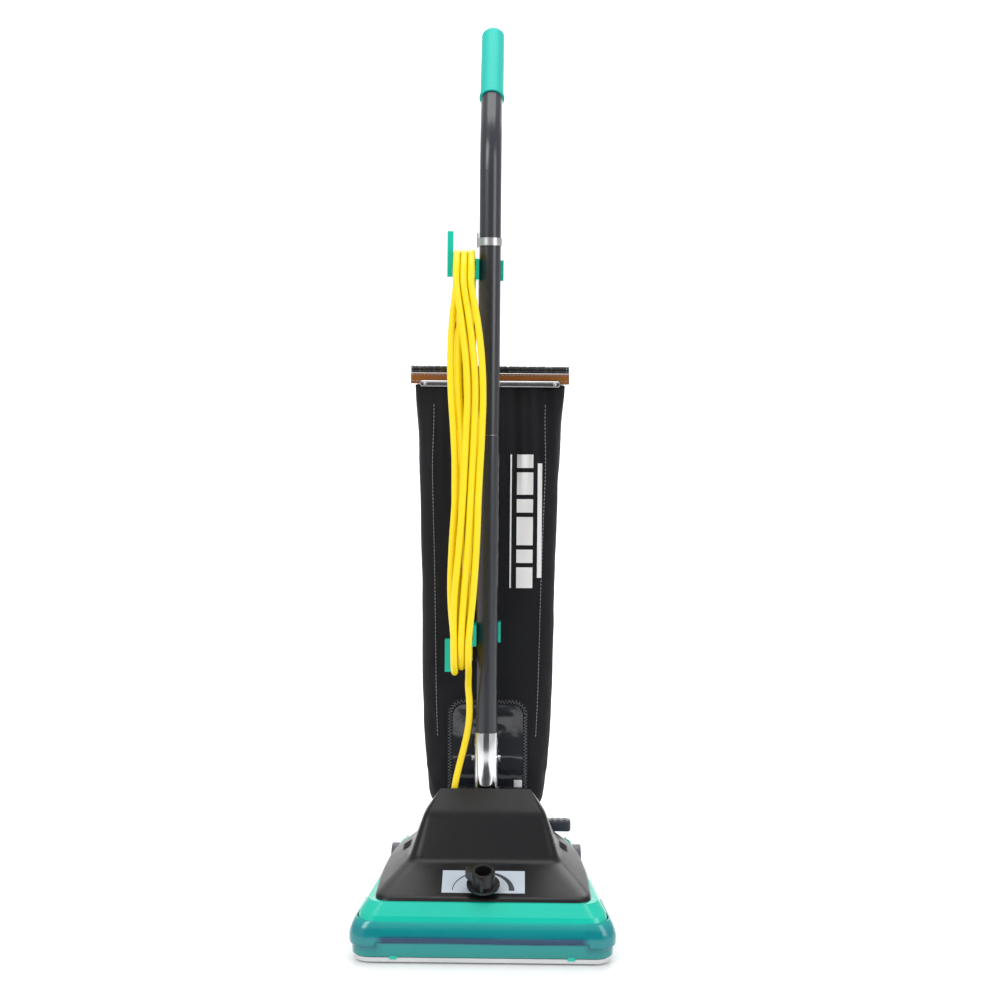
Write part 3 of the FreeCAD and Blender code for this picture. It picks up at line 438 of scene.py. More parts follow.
for k, (radius, foot, up, head, low) in enumerate(TURNS):
    R = radius * 1.01
    first = 45 if k == 0 else 0
    for a in (0, 22.5, 45, 67.5, 90):           # the foot's front quarter
        if a >= first:
            route.append(H(foot, MID - R * math.sin(math.radians(a)), low - R * math.cos(math.radians(a))))
    for t, x in zip(UP, up):
        route.append(H(x, MID - radius - 0.6 * math.sin(9 * t + k), low + (TOP - low) * t))
    for a in (0, 22.5, 45, 67.5, 90, 112.5, 135, 157.5, 180):
        route.append(H(head, MID - R * math.cos(math.radians(a)), TOP + R * math.sin(math.radians(a))))
    if k == len(TURNS) - 1:
        break
    nr, nfoot, nlow = TURNS[k + 1][0], TURNS[k + 1][1], TURNS[k + 1][4]
    way = REAR.get(k)
    for i, t in enumerate((0.2, 0.5, 0.8)):
        x = head + (nfoot - head) * t + 0.5 * math.sin(5 * t + 2 * k)
        yl = MID + radius + (nr - radius) * t
        if way:
            x, yl = way[i]
        route.append(H(x, yl, TOP + (nlow - TOP) * t))
    for a in (90, 67.5, 45, 22.5):              # the foot's rear quarter
        route.append(H(nfoot, MID + nr * 1.01 * math.sin(math.radians(a)), nlow - nr * 1.01 * math.cos(math.radians(a))))
route += [H(-33, 4.0, 712), H(-33.3, -1.5, 678), H(-33.2, -12.5, 645), H(-33, -20.0, 615), H(-33, -22, 590), H(-33, -22, 568.2)]
line = nurbs_points(route, 6)
cord_long = sum((b - a).length for a, b in zip(line, line[1:]))
print("cord centreline", round(cord_long, 3), "m, points", len(line))
v, f = sweep(line, 0.0045, 12)
cord = piece("power_cord", v, f, "cord_yellow", True, None)
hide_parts("cord_hank", "cord_tail")
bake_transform(cord)

# strain relief where the cord enters the plug
relief_line = [H(-33, -22, 568 + 30 * i / 24) for i in range(25)]
v, f = sweep(relief_line, 0.007, 20, lambda t: (0.0078 - 0.0026 * t) * (1 if int(t * 24) % 4 < 2 else 0.9))
relief = piece("plug_strain_relief", v, f, "cord_yellow", True, 35)
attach(relief, "handle")

# strap that ties the rear strands together
ring = []
for x, yl in rounded(15.6, -14.8, 14.8, 8, 6):
    ring.append((x - 32.6, yl + 14.0))
bands = []
for off, zz in ((0, 699.5), (1.3, 700.2), (1.5, 704), (1.3, 707.8), (0, 708.5), (-0.2, 704)):
    bands.append([H(cx + (off if cx > -32.6 else -off) * 0.9, yl + (off if yl > 14 else -off) * 0.9, zz + 0.5 * math.sin(i * 0.9)) for i, (cx, yl) in enumerate(ring)])
bands.append(bands[0])
v, f = skin(bands, True, False)
strap = piece("cord_strap", v, f, "black_rubber", True, 40)
bm = bmesh.new(); bm.from_mesh(strap.data); bmesh.ops.remove_doubles(bm, verts=bm.verts, dist=1e-6); bm.to_mesh(strap.data); bm.free()
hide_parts("cord_tie")
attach(strap, "handle")

# ---------------------------------------------------------------- filter bag
BAG = [(121.5, 84, 27, 108), (150, 86.5, 30, 117), (220, 89, 31.5, 125), (350, 91.5, 33.5, 128), (470, 95, 38.5, 124),
       (560, 98.5, 52, 106), (610, 102, 70, 92), (627, 103, 77.5, 86.5)]


def along(table, s):
    """The table's row at s, on a smooth line through its rows."""
    i = max(0, min(len(table) - 2, sum(1 for r in table[1:-1] if s >= r[0])))
    a, b = table[i], table[i + 1]
    p, q = table[max(0, i - 1)], table[min(len(table) - 1, i + 2)]
    t = max(0.0, min(1.0, (s - a[0]) / (b[0] - a[0])))
    out = []
    for k in range(1, len(a)):
        m0 = (b[k] - p[k]) / (b[0] - p[0]) * (b[0] - a[0])
        m1 = (q[k] - a[k]) / (q[0] - a[0]) * (b[0] - a[0])
        out.append((2 * t**3 - 3 * t**2 + 1) * a[k] + (t**3 - 2 * t**2 + t) * m0 + (3 * t**2 - 2 * t**3) * b[k] + (t**3 - t**2) * m1)
    return out


def ease(a, b, v):
    t = max(0.0, min(1.0, (v - a) / (b - a)))
    return t * t * (3 - 2 * t)


def window_flat(x, zl):
    """0 inside the window and near it, 1 well away from it."""
    d = max(abs(x - 1.5) - 58, zl - 206, 0)
    return ease(0, 22, d)


def dent(x, zl, seed=0.0):
    """How far the cloth's front or back lies inside its plain outline."""
    p = Vector((x / 85 + seed, zl / 120, seed))
    soft = 3.2 * (noise.noise(p) + 0.25) + 1.3 * noise.noise(p * 2.7)
    fan = ease(430, 600, zl)
    pleat = fan * 2.6 * (math.sin(x * 0.19 + 1.4 * math.sin(x * 0.045 + seed)) + 0.7 * math.sin(x * 0.41 + zl * 0.01))
    low = 1 - ease(130, 300, zl)
    sag = low * 2.4 * math.sin((zl + 0.0022 * x * x + 9 * noise.noise(Vector((x / 60, seed, 2)))) * 2 * math.pi / 41)
    drape = 1.8 * ease(0.12, 0.5, noise.noise(Vector(((x + 0.32 * zl) / 46, (zl - 0.4 * x) / 210, 4 + seed)))) + 1.6 * ease(0.15, 0.5, noise.noise(Vector(((x - 0.28 * zl) / 52, zl / 240, 9 + seed))))
    return soft + pleat + sag + drape + 1.6


def front_y(x, zl):
    hw, y0, y1 = along(BAG, zl)
    crown = 3.0 * (abs(x) / hw) ** 2.2
    return y0 + crown + max(-0.6, dent(x, zl)) * window_flat(x, zl)


def bag_ring(zl, n=132):
    hw, y0, y1 = along(BAG, zl)
    depth = y1 - y0
    r = min(27, 0.43 * depth)
    base = rounded(hw, y0, y1, r, 8)
    loop = [Vector((a, b, 0)) for a, b in base]
    cum = [0.0]
    for i in range(len(loop)):
        cum.append(cum[-1] + (loop[(i + 1) % len(loop)] - loop[i]).length)
    pts, k = [], 0
    for j in range(n):
        s = cum[-1] * j / n
        while cum[k + 1] < s:
            k += 1
        a, b = loop[k], loop[(k + 1) % len(loop)]
        f = (s - cum[k]) / max(1e-9, cum[k + 1] - cum[k])
        pts.append(a.lerp(b, f))
    out = []
    for p in pts:
        x, yl = p.x, p.y
        side = ease(0.72, 1.0, abs(x) / hw)
        if yl < (y0 + y1) / 2:
            yl2 = yl + (3.0 * (abs(x) / hw) ** 2.2 + max(-0.6, dent(x, zl)) * window_flat(x, zl)) * (1 - side)
        else:
            yl2 = yl - max(-2.0, dent(x, zl, 7.3) - 0.5) * (1 - side)
        seam = math.exp(-(((yl - (y0 + y1) / 2) / 3.0) ** 2)) * ease(0.9, 1.0, abs(x) / hw)
        gusset = 1.6 * noise.noise(Vector((yl / 30, zl / 55, 3 if x > 0 else 8))) + 1.2 * math.sin(zl * 0.06 + (0 if x > 0 else 2)) * noise.noise(Vector((zl / 90, 1, 1)))
        tuck = 2.4 * math.exp(-(((yl - (y0 + y1) / 2) / (0.28 * depth)) ** 2)) * ease(0.8, 1.0, abs(x) / hw) * ease(180, 420, zl)
        x2 = x - math.copysign((tuck + gusset * 0.8) * ease(0.6, 1.0, abs(x) / hw) - 2.0 * seam, x)
        out.append(H(x2, yl2, zl))
    return out


# the neck: from the collar up to the bag's foot, wide and slack behind the hood
NECK = [(112.6, 17.0, 215.0, 249.0, 15.0), (117, 28, 212, 256, 18), (123, 55, 216, 268, 22), (131, 72, 224, 282, 24),
        (150, 79, 221, 292, 25), (175, 82.5, 219.5, 298.5, 26), (198, 84, 219.5, 302.5, 27)]


def neck_ring(z, n=132):
    hw, y0, y1, r = along(NECK, z)
    base = rounded(hw, y0, y1, min(r, hw - 1), 8)
    loop = [Vector((a, b, 0)) for a, b in base]
    cum = [0.0]
    for i in range(len(loop)):
        cum.append(cum[-1] + (loop[(i + 1) % len(loop)] - loop[i]).length)
    out, k = [], 0
    g = ease(114, 135, z)
    for j in range(n):
        s = cum[-1] * j / n
        while cum[k + 1] < s:
            k += 1
        a, b = loop[k], loop[(k + 1) % len(loop)]
        p = a.lerp(b, (s - cum[k]) / max(1e-9, cum[k + 1] - cum[k]))
        c = Vector((0, (y0 + y1) / 2, 0))
        d = (p - c)
        fold = 1 - (0.035 * (1 + math.sin(j * 2 * math.pi / 132 * 17 + 1.2 * math.sin(z * 0.11))) * (1 - g * 0.75)
                    + 0.007 * (1 + math.sin(z * 0.16 + 2.2 * noise.noise(Vector((p.x / 40, p.y / 40, z / 40))))) * g)
        q = c + d * fold
        out.append(W(q.x, q.y, z))
    return out


levels = [112.6 + 3.1 * i for i in range(29)]
rings = [neck_ring(z) for z in levels if z <= 196]
top = [bag_ring(zl) for zl in [129 + 4.2 * i for i in range(119)] if zl <= 627] + [bag_ring(627)]
rings += [[a.lerp(b, t) for a, b in zip(rings[-1], top[0])] for t in (0.33, 0.66)] + top
v, f = skin(rings)
bag = piece("bag_shell", v, f, "bag_fabric", True, None)
sub = bag.modifiers.new("smooth", "SUBSURF")
sub.levels = sub.render_levels = 1
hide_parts("filter_bag", "bag_neck")
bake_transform(bag)


def strip(name, path, half, slot, thick=0.5, up=0.6, wave=None):
    """A thin closed strip on the bag's front, along path of (x, zl), half wide to each side and up proud of the cloth."""
    rows = []
    for i, (x, zl) in enumerate(path):
        a, b = path[max(0, i - 1)], path[min(len(path) - 1, i + 1)]
        t = Vector((b[0] - a[0], b[1] - a[1])).normalized()
        s = Vector((t.y, -t.x))
        row = []
        for u, off in ((-1, 0.1), (-0.94, up), (0, up + 0.1), (0.94, up), (1, 0.1), (0.9, 0.05), (-0.9, 0.05)):
            px, pz = x + s.x * half * u, zl + s.y * half * u
            row.append(H(px, front_y(px, pz) - off - (0.35 if u in (0.9, -0.9) else 0) * 0, pz))
        rows.append(row)
    v, f = skin(rows)
    return piece(name, v, f, slot, True, 50)


# generic printed marks on the cloth
white = plastic("screen print", (0.78, 0.78, 0.8), 0.6, 0.06, 1500, 0.5, 0.0002)


def block(x0, x1, z0, z1):
    nx, nz = max(2, int((x1 - x0) / 3)), max(2, int((z1 - z0) / 3))
    top_v, low_v = [], []
    for j in range(nz + 1):
        for i in range(nx + 1):
            x, z = x0 + (x1 - x0) * i / nx, z0 + (z1 - z0) * j / nz
            top_v.append(H(x, front_y(x, z) - 1.0, z))
            low_v.append(H(x, front_y(x, z) - 0.5, z))
    n, faces = (nx + 1), []
    off = len(top_v)
    for j in range(nz):
        for i in range(nx):
            a = j * n + i
            faces += [(a, a + 1, a + n + 1, a + n), (off + a + n, off + a + n + 1, off + a + 1, off + a)]
    rim = [i for i in range(n)] + [j * n + nx for j in range(1, nz + 1)] + [nz * n + i for i in range(nx - 1, -1, -1)] + [j * n for j in range(nz - 1, 0, -1)]
    for a, b in zip(rim, rim[1:] + rim[:1]):
        faces.append((b, a, off + a, off + b))
    return top_v + low_v, faces


marks_v, marks_f = [], []
for x0, x1, z0, z1 in [(38, 60, 352, 380), (38, 60, 386, 404), (38, 60, 410, 448), (38, 60, 454, 472), (38, 60, 478, 508), (38, 60, 514, 532),
                       (66, 72, 366, 520), (29, 31, 352, 532)]:
    v, f = block(x0, x1, z0, z1)
    f = [tuple(i + len(marks_v) for i in q) for q in f]
    marks_v += v
    marks_f += f
marks = piece("printed_bars", marks_v, marks_f, white, False)
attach(marks, "handle")


# clear window: a bulged sheet with a zigzag stitched border, running from the bag's front down over the neck
def face(x, zl, up):
    """A point up in front of the cloth, on the bag above 129 and on the neck's front below 115."""
    zl = max(zl, 45)
    t = ease(112, 131, zl)
    y_bag = front_y(x, max(zl, 121.5))
    hw, y0, y1, r = along(NECK, max(113, 84 + zl * C3))
    y_neck = (y0 - 186.1 - zl * S3) / C3 + 0.6
    return H(x, y_neck * (1 - t) + y_bag * t - up, zl)


WX0, WX1, WZ0, WZ1 = -48, 51, 50, 196


def window_outline(grow):
    x0, x1, z0, z1, r = WX0 - grow, WX1 + grow, WZ0 - grow * 0.2, WZ1 + grow, 16 + grow
    out = []
    for cx, cz, a0 in ((x1 - r, z1 - r, 0), (x0 + r, z1 - r, 90)):
        for k in range(13):
            a = math.radians(a0 + 90 * k / 12)
            out.append((cx + r * math.cos(a), cz + r * math.sin(a)))
    out += [(x0, z1 - r - (z1 - r - z0) * k / 20) for k in range(1, 21)]
    out += [(x0 + (x1 - x0) * k / 16, z0) for k in range(1, 16)]
    out += [(x1, z0 + (z1 - r - z0) * k / 20) for k in range(0, 20)]
    return out


def bend_with_bag(o):
    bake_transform(o)


out0 = window_outline(0)
cx, cz = 1.5, 132
wr = []
for s in (1.0, 0.985, 0.95, 0.9, 0.84, 0.77, 0.7, 0.6, 0.5, 0.4, 0.28, 0.18, 0.08):
    wr.append([face(cx + (x - cx) * s, cz + (z - cz) * s, 0.9 + (0.5 if s < 1 else 0) + (1 - s) * 0.6
                    + 1.1 * min(1, 3 * (1 - s)) * noise.noise(Vector((((x - cx) * s + 0.5 * z * s) / 17, (z - cz) * s / 38, 5)))) for x, z in out0])
v, f = skin(wr, True, False)
f.append(tuple(range((len(wr) - 1) * len(out0), len(wr) * len(out0))))
pane = piece("window_pane", v, f, "clear_vinyl", True, None)
sol = pane.modifiers.new("thick", "SOLIDIFY")
sol.thickness, sol.offset = 0.0005, 0
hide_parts("bag_window")
bend_with_bag(pane)
hem = window_outline(1.5)
hem = hem[:]
hem_rows = []
for i, (x, z) in enumerate(hem):
    a, b = hem[i - 1], hem[(i + 1) % len(hem)]
    t = Vector((b[0] - a[0], b[1] - a[1])).normalized()
    s = Vector((t.y, -t.x))
    hem_rows.append([face(x + s.x * u, z + s.y * u, o) for u, o in ((-3.6, 0.6), (-3.3, 1.9), (0, 2.3), (3.3, 1.9), (3.6, 0.6))])
hem_rows.append(hem_rows[0])
v, f = skin(hem_rows, False, False)
binding = piece("window_binding", v, f, "bag_fabric", True, 60)
bm = bmesh.new(); bm.from_mesh(binding.data); bmesh.ops.remove_doubles(bm, verts=bm.verts, dist=1e-6); bmesh.ops.recalc_face_normals(bm, faces=bm.faces); bm.to_mesh(binding.data); bm.free()
sol = binding.modifiers.new("thick", "SOLIDIFY")
sol.thickness, sol.offset = 0.0006, -1
bend_with_bag(binding)
thread = plastic("grey thread", (0.32, 0.33, 0.36), 0.6, 0.15, 2500, 0.5, 0.0002)
pts2 = hem + [hem[0]]
zig, side = [], 1
for a, b in zip(pts2, pts2[1:]):
    a, b = Vector(a), Vector(b)
    t = (b - a).normalized()
    s = Vector((t.y, -t.x))
    n = max(1, round((b - a).length / 2.3))
    for k in range(n):
        p = a.lerp(b, k / n) + s * 2.3 * side
        side = -side
        zig.append(face(p.x, p.y, 2.5))
v, f = sweep(zig, 0.00038, 6)
stitches = piece("window_stitching", v, f, thread, True, None)
bend_with_bag(stitches)


# seams down the bag's front sides and a small care tag low on the front
def seam_line(name, xf, z0, z1, step=5.0):
    vs, fs, n = [], [], int((z1 - z0) / step)
    for k in range(n):
        za, zb = z0 + k * step, z0 + k * step + step * 0.62
        p = [H(xf(z), front_y(xf(z), z) - 0.25, z) for z in (za, (za + zb) / 2, zb)]
        p[1] = p[1] + Vector((0, -0.0005, 0))
        v, f = sweep(p, 0.00045, 6)
        fs += [tuple(i + len(vs) for i in q) for q in f]
        vs += v
    o = piece(name, vs, fs, thread, True, None)
    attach(o, "handle")


for sx in (-1, 1):
    seam_line("bag_seam_" + ("left" if sx < 0 else "right"), lambda z, sx=sx: sx * (along(BAG, z)[0] - 20 - 6 * ease(500, 620, z)), 150, 600)
rows_ = []
for k in range(9):
    zz = 78 + 1.6 * k
    rows_.append([face(x, zz, o + 0.5 * math.sin(k * 1.3 + x)) for x, o in ((37.5, 2.0), (41, 2.9), (44.5, 3.3), (48.5, 2.4), (48.5, 1.6), (44.5, 2.4), (41, 2.1), (37.5, 1.4))])
v, f = skin(rows_)
tag = piece("care_tag", v, f, white, True, 50)
bend_with_bag(tag)


# ---------------------------------------------------------------- top of the bag
def bar_rings(x0, x1, n, section):
    """Rings across x; section(x, t) gives a closed ring of (yl, zl)."""
    out = []
    for i in range(n + 1):
        t = i / n
        x = x0 + (x1 - x0) * t
        out.append([H(x, yl, zl) for yl, zl in section(x, t)])
    return out


def tape_section(x, t):
    w = 0.6 * noise.noise(Vector((x / 18, 0.3, 1))) + 0.3 * noise.noise(Vector((x / 5, 2.3, 1)))
    low = 626.3 + 0.9 * noise.noise(Vector((x / 26, 5, 2)))
    end = ease(0, 0.012, t) * ease(1, 0.988, t)
    h = 3.4 + 0.6 * end
    pts = []
    for yy, zz in rounded(h, low, 640.6, 2.2, 3):
        pts.append((82 + yy + (w if yy < 0 else w * 0.5) * 0.8, zz))
    return pts


v, f = skin(bar_rings(-108, 108, 150, tape_section))
tape = piece("top_tape", v, f, "brown_board", True, 50)
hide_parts("bag_top_band")
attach(tape, "handle")
stv, stf = [], []
for row, zz in enumerate((630.2, 638.2)):
    for k in range(42):
        x = -106 + k * 5.05
        p = [H(x + d, 77.6 - (0.5 if i == 1 else 0.1) + 0.3 * noise.noise(Vector(((x + d) / 18, 0.3, 1))), zz) for i, d in enumerate((0, 1.6, 3.2))]
        v, f = sweep(p, 0.0004, 6)
        stf += [tuple(i + len(stv) for i in q) for q in f]
        stv += v
st = piece("tape_stitches", stv, stf, thread, True, None)
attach(st, "handle")


def channel_section(x, t):
    a = noise.noise(Vector((x / 7, 0.7, 3))) * 1.1 + noise.noise(Vector((x / 2.6, 4.7, 3))) * 0.7
    b = noise.noise(Vector((x / 9, 8.7, 3))) * 1.0 + noise.noise(Vector((x / 3.1, 1.7, 5))) * 0.6
    end = 0.86 + 0.14 * ease(0, 0.02, t) * ease(1, 0.98, t)
    pts = []
    for k, (yy, zz) in enumerate(rounded(5.2 * end, 641.1, 651.2, 3.2, 4)):
        top_lift = ease(643, 651, zz)
        pts.append((82 + yy + (a if yy < 0 else -b) * 0.55, zz - abs(a) * 1.0 * top_lift))
    return pts


v, f = skin(bar_rings(-107.6, 107.6, 300, channel_section))
gloss = plastic("crinkled black film", (0.012, 0.012, 0.014), 0.16, 0.3, 300, 0.6, 0.0008, Coat_Weight=0.8, Coat_Roughness=0.08)
channel = piece("closure_channel", v, f, gloss, True, 60)
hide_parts("bag_closure_channel")
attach(channel, "closure")

# clamp bar: pressed steel strip with rounded ends and two rivet heads
def plate_loop(x0, x1, z0, z1, r, n=6):
    out = []
    for cx_, cz_, a0 in ((x1 - r, z0 + r, -90), (x1 - r, z1 - r, 0), (x0 + r, z1 - r, 90), (x0 + r, z0 + r, 180)):
        for k in range(n + 1):
            a = math.radians(a0 + 90 * k / n)
            out.append((cx_ + r * math.cos(a), cz_ + r * math.sin(a)))
    return out


loop = plate_loop(-95, 95, 622.5, 630.5, 3.2)
lx = lambda g, yl: [H((x - 0) * (1 - g / 95), yl, 626.5 + (z - 626.5) * (1 - g / 4)) for x, z in loop]
v, f = skin([lx(0, 73.8), lx(0, 72.0), lx(0.35, 71.6), lx(1.0, 71.45)])
bar = piece("clamp_bar", v, f, "chrome", True, 30)
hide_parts("bag_clamp_bar")
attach(bar, "handle")
for i, x in enumerate((-88, 0, 88)):
    rr = []
    for r_, yy in ((2.6, 71.5), (2.6, 71.2), (2.2, 70.6), (1.3, 70.2), (0.5, 70.05)):
        rr.append([H(x + r_ * math.cos(math.radians(15 * k)), yy, 626.5 + r_ * math.sin(math.radians(15 * k))) for k in range(24)])
    v, f = skin(rr)
    rv = piece("bar_rivet_%d" % (i + 1), v, f, "steel", True, 40)
    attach(rv, "handle")

# ---------------------------------------------------------------- motor hood
HOOD = [([(136.5, 28), (135, 125), (127, 205), (114, 253), (98, 283)], 72.9), ([(135.5, 31), (134, 125), (126, 205), (113, 252), (97, 281)], 77.0),
        ([(97.8, 104), (99, 140), (97, 190), (90, 235), (80, 262)], 98.5), ([(80, 140), (79.5, 160), (76, 180), (72, 195), (66, 206)], 150.0),
        ([(59.5, 171.5), (59, 174), (58.6, 177), (58, 180), (57, 184)], 175.0)]


def hood_ring(level, inset, drop, radius):
    side, z = level
    pts = [(x - inset, y + (inset if k == 0 else (-inset if k == len(side) - 1 else 0))) for k, (x, y) in enumerate(side)]
    full = pts + [(-x, y) for x, y in reversed(pts)]
    out, n = [], len(full)
    for i in range(n):
        p, q, r_ = Vector(full[i - 1]), Vector(full[i]), Vector(full[(i + 1) % n])
        reach = min(radius[i if i < 5 else 9 - i], 0.48 * (q - p).length, 0.48 * (r_ - q).length)
        a, b = q + (p - q).normalized() * reach, q + (r_ - q).normalized() * reach
        for k in range(7):
            t = k / 6
            e = a * (1 - t) ** 2 + q * 2 * t * (1 - t) + b * t * t
            out.append(Vector((e.x, e.y, z - drop)))
        # extra points along the straight side that follows
        c = full[(i + 1) % n]
        far = Vector(c) - (Vector(c) - q).normalized() * min(radius[(i + 1) % n if (i + 1) % n < 5 else 9 - (i + 1) % n], 0.48 * (Vector(c) - q).length, 0.48 * (Vector(full[(i + 2) % n]) - Vector(c)).length)
        for k in (1, 2, 3):
            e = b.lerp(far, k / 4)
            out.append(Vector((e.x, e.y, z - drop)))
    return out


RAD = [[20, 30, 30, 22, 12], [20, 30, 30, 22, 12], [16, 18, 24, 22, 12], [14, 9, 9, 8, 6], [9, 1.4, 1.4, 1.8, 1.8]]


def hood_shell(inset, drop, name, low):
    cols = [hood_ring(l, inset, drop * (2 if i == 0 else 1) if inset else 0, RAD[i]) for i, l in enumerate(HOOD)]
    if low:
        cols[0] = [Vector((p.x, p.y, low)) for p in cols[0]]
    soft = {1: 5.0, 2: 8.0, 3: 8.0}
    rows = [cols[0]]
    for i in range(1, 4):
        a, q, b = cols[i - 1], cols[i], cols[i + 1]
        span = []
        for k in range(7):
            t = k / 6
            ring_ = []
            for u, v_, w in zip(a, q, b):
                s1, s2 = min(soft[i], 0.47 * (v_ - u).length), min(soft[i], 0.47 * (w - v_).length)
                p0, p1 = v_ + (u - v_).normalized() * s1, v_ + (w - v_).normalized() * s2
                ring_.append(p0 * (1 - t) ** 2 + v_ * 2 * t * (1 - t) + p1 * t * t)
            span.append(ring_)
        if i > 1:
            rows += [[u.lerp(v_, k / 4) for u, v_ in zip(rows[-1], span[0])] for k in (1, 2, 3)]
        rows += span
    last = cols[4]
    rows += [[u.lerp(v_, k / 5) for u, v_ in zip(rows[-1], last)] for k in (1, 2, 3, 4)]
    rows[-1] = rows[-1]
    c = Vector((0, 177.8, 175.0 - drop))
    rim = [v_ + (u - v_).normalized() * min(1.0, 0.4 * (u - v_).length) for u, v_ in zip(rows[-1], last)]
    rows.append(rim)
    for k in (1, 2, 3, 4):
        t = k / 4
        inner = [v_ + (c - v_) * min(0.05, 1.0 / max(3.0, (c - v_).length)) for v_ in last]
        rows.append([p0 * (1 - t) ** 2 + v_ * 2 * t * (1 - t) + p1 * t * t for p0, v_, p1 in zip(rim, last, inner)])
    rows = [[W(*p) for p in r] for r in rows]
    v, f = skin(rows)
    return piece(name, v, f, "black_plastic", True, 32)


def box_cutter(x0, x1, y0, y1, z0, z1):
    v = [W(x, y, z) for x in (x0, x1) for y in (y0, y1) for z in (z0, z1)]
    f = [(0, 1, 3, 2), (4, 6, 7, 5), (0, 4, 5, 1), (2, 3, 7, 6), (0, 2, 6, 4), (1, 5, 7, 3)]
    return piece("cutter", v, f, "black_plastic", False)


def boolean(o, cutters):
    for c in cutters:
        b = o.modifiers.new("cut", "BOOLEAN")
        b.operation, b.solver, b.object = "DIFFERENCE", "EXACT", c
    dg = bpy.context.evaluated_depsgraph_get()
    me = bpy.data.meshes.new_from_object(o.evaluated_get(dg))
    o.modifiers.clear()
    o.data = me
    for c in cutters:
        bpy.data.objects.remove(c)
    me.shade_smooth()
    me.set_sharp_from_angle(angle=math.radians(32))


hood = hood_shell(0, 0, "hood_shell", None)
inner = hood_shell(2.5, 2.5, "hood_void", 60.0)
boolean(inner, [box_cutter(-70.5, 70.5, 169.5, 309, 60, 190)])
boolean(hood, [inner, box_cutter(-68, 68, 172, 302, 100, 190), box_cutter(53, 68.0, 172.01, 302, 60, 100.5), box_cutter(-68.0, -53, 172.01, 302, 60, 100.5),
               box_cutter(-55, 55, 180.5, 310, 60, 110)])
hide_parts("motor_hood")
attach(hood, "base")
hood.data.materials.clear()
hood.data.materials.append(plastic("satin hood moulding", (0.0065, 0.0065, 0.008), 0.3, 0.1, 1500, 0.3, 0.0001, spec=0.3))

# ---------------------------------------------------------------- label print
TILT = math.atan2(21.5, 73)


def deck(x, y, up):
    """A point up above the sloping deck, y measured along the label's axis."""
    z = 77 + (y - 31) * 21.5 / 73
    return W(x, y - up * math.sin(TILT), z + up * math.cos(TILT))


def decal(name, loop_pairs, slot, lift=0.75, thick=0.12):
    vs, fs = [], []
    n = len(loop_pairs)
    for a, b in loop_pairs:
        for (x, y) in (a, b):
            vs.append(deck(x, y, lift + thick))
            vs.append(deck(x, y, lift))
    for i in range(n - 1):
        p, q = 4 * i, 4 * (i + 1)
        fs += [(p, p + 2, q + 2, q), (p + 1, q + 1, q + 3, p + 3), (p, q, q + 1, p + 1), (p + 2, p + 3, q + 3, q + 2)]
    fs += [(0, 1, 3, 2), (4 * n - 4, 4 * n - 2, 4 * n - 1, 4 * n - 3)]
    o = piece(name, vs, fs, slot, False)
    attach(o, "base")
    return o


KY = 44.0
ink = plastic("label ink", (0.03, 0.033, 0.04), 0.45, 0.1, 1500, 0.2, 0.00005)
arc = []
for k in range(49):
    a = math.radians(180 - 180 * k / 48)
    wide = 0.9 + 6.4 * (k / 48) ** 1.5
    ro = 39.5
    arc.append(((ro * math.cos(a), KY + 0.5 + 0.96 * ro * math.sin(a)), ((ro - wide) * math.cos(a), KY + 0.5 + 0.96 * (ro - wide) * math.sin(a))))
decal("label_arc", arc, ink)

# ---------------------------------------------------------------- side vents on the hood's flanks
from mathutils.bvhtree import BVHTree
tree = BVHTree.FromPolygons([v_.co for v_ in hood.data.vertices], [tuple(q.vertices) for q in hood.data.polygons])


def onto(x, y):
    hit = tree.ray_cast(W(x, y, 400), Vector((0, 0, -1)))
    return hit[0], hit[1]


for sx in (-1, 1):
    vs, fs = [], []
    for k in range(4):
        y = 168 + 8.5 * k
        loop = []
        for i in range(12):
            a = 2 * math.pi * i / 12
            loop.append((sx * (104.5 + 5.6 * math.cos(a)), y + 1.5 * math.sin(a) + 1.6 * math.cos(a)))
        hits = [onto(x, yy) for x, yy in loop]
        nrm = sum((h[1] for h in hits), Vector()).normalized()
        rr = [[h[0] - nrm * 0.0005 for h in hits], [h[0] + nrm * 0.0005 for h in hits]]
        cen = sum((p for p in rr[1]), Vector()) / 12
        rr.append([p.lerp(cen, 0.16) + nrm * 0.00025 for p in rr[1]])
        rr.append([p.lerp(cen, 0.45) - nrm * 0.0002 for p in rr[1]])
        v, f = skin(rr)
        fs += [tuple(i + len(vs) for i in q) for q in f]
        vs += v
    ribs = piece("flank_vent_" + ("left" if sx < 0 else "right"), vs, fs, "black_rubber", True, 50)
    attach(ribs, "base")

# ---------------------------------------------------------------- bumper with stepped corner caps
WIDE = 169.83


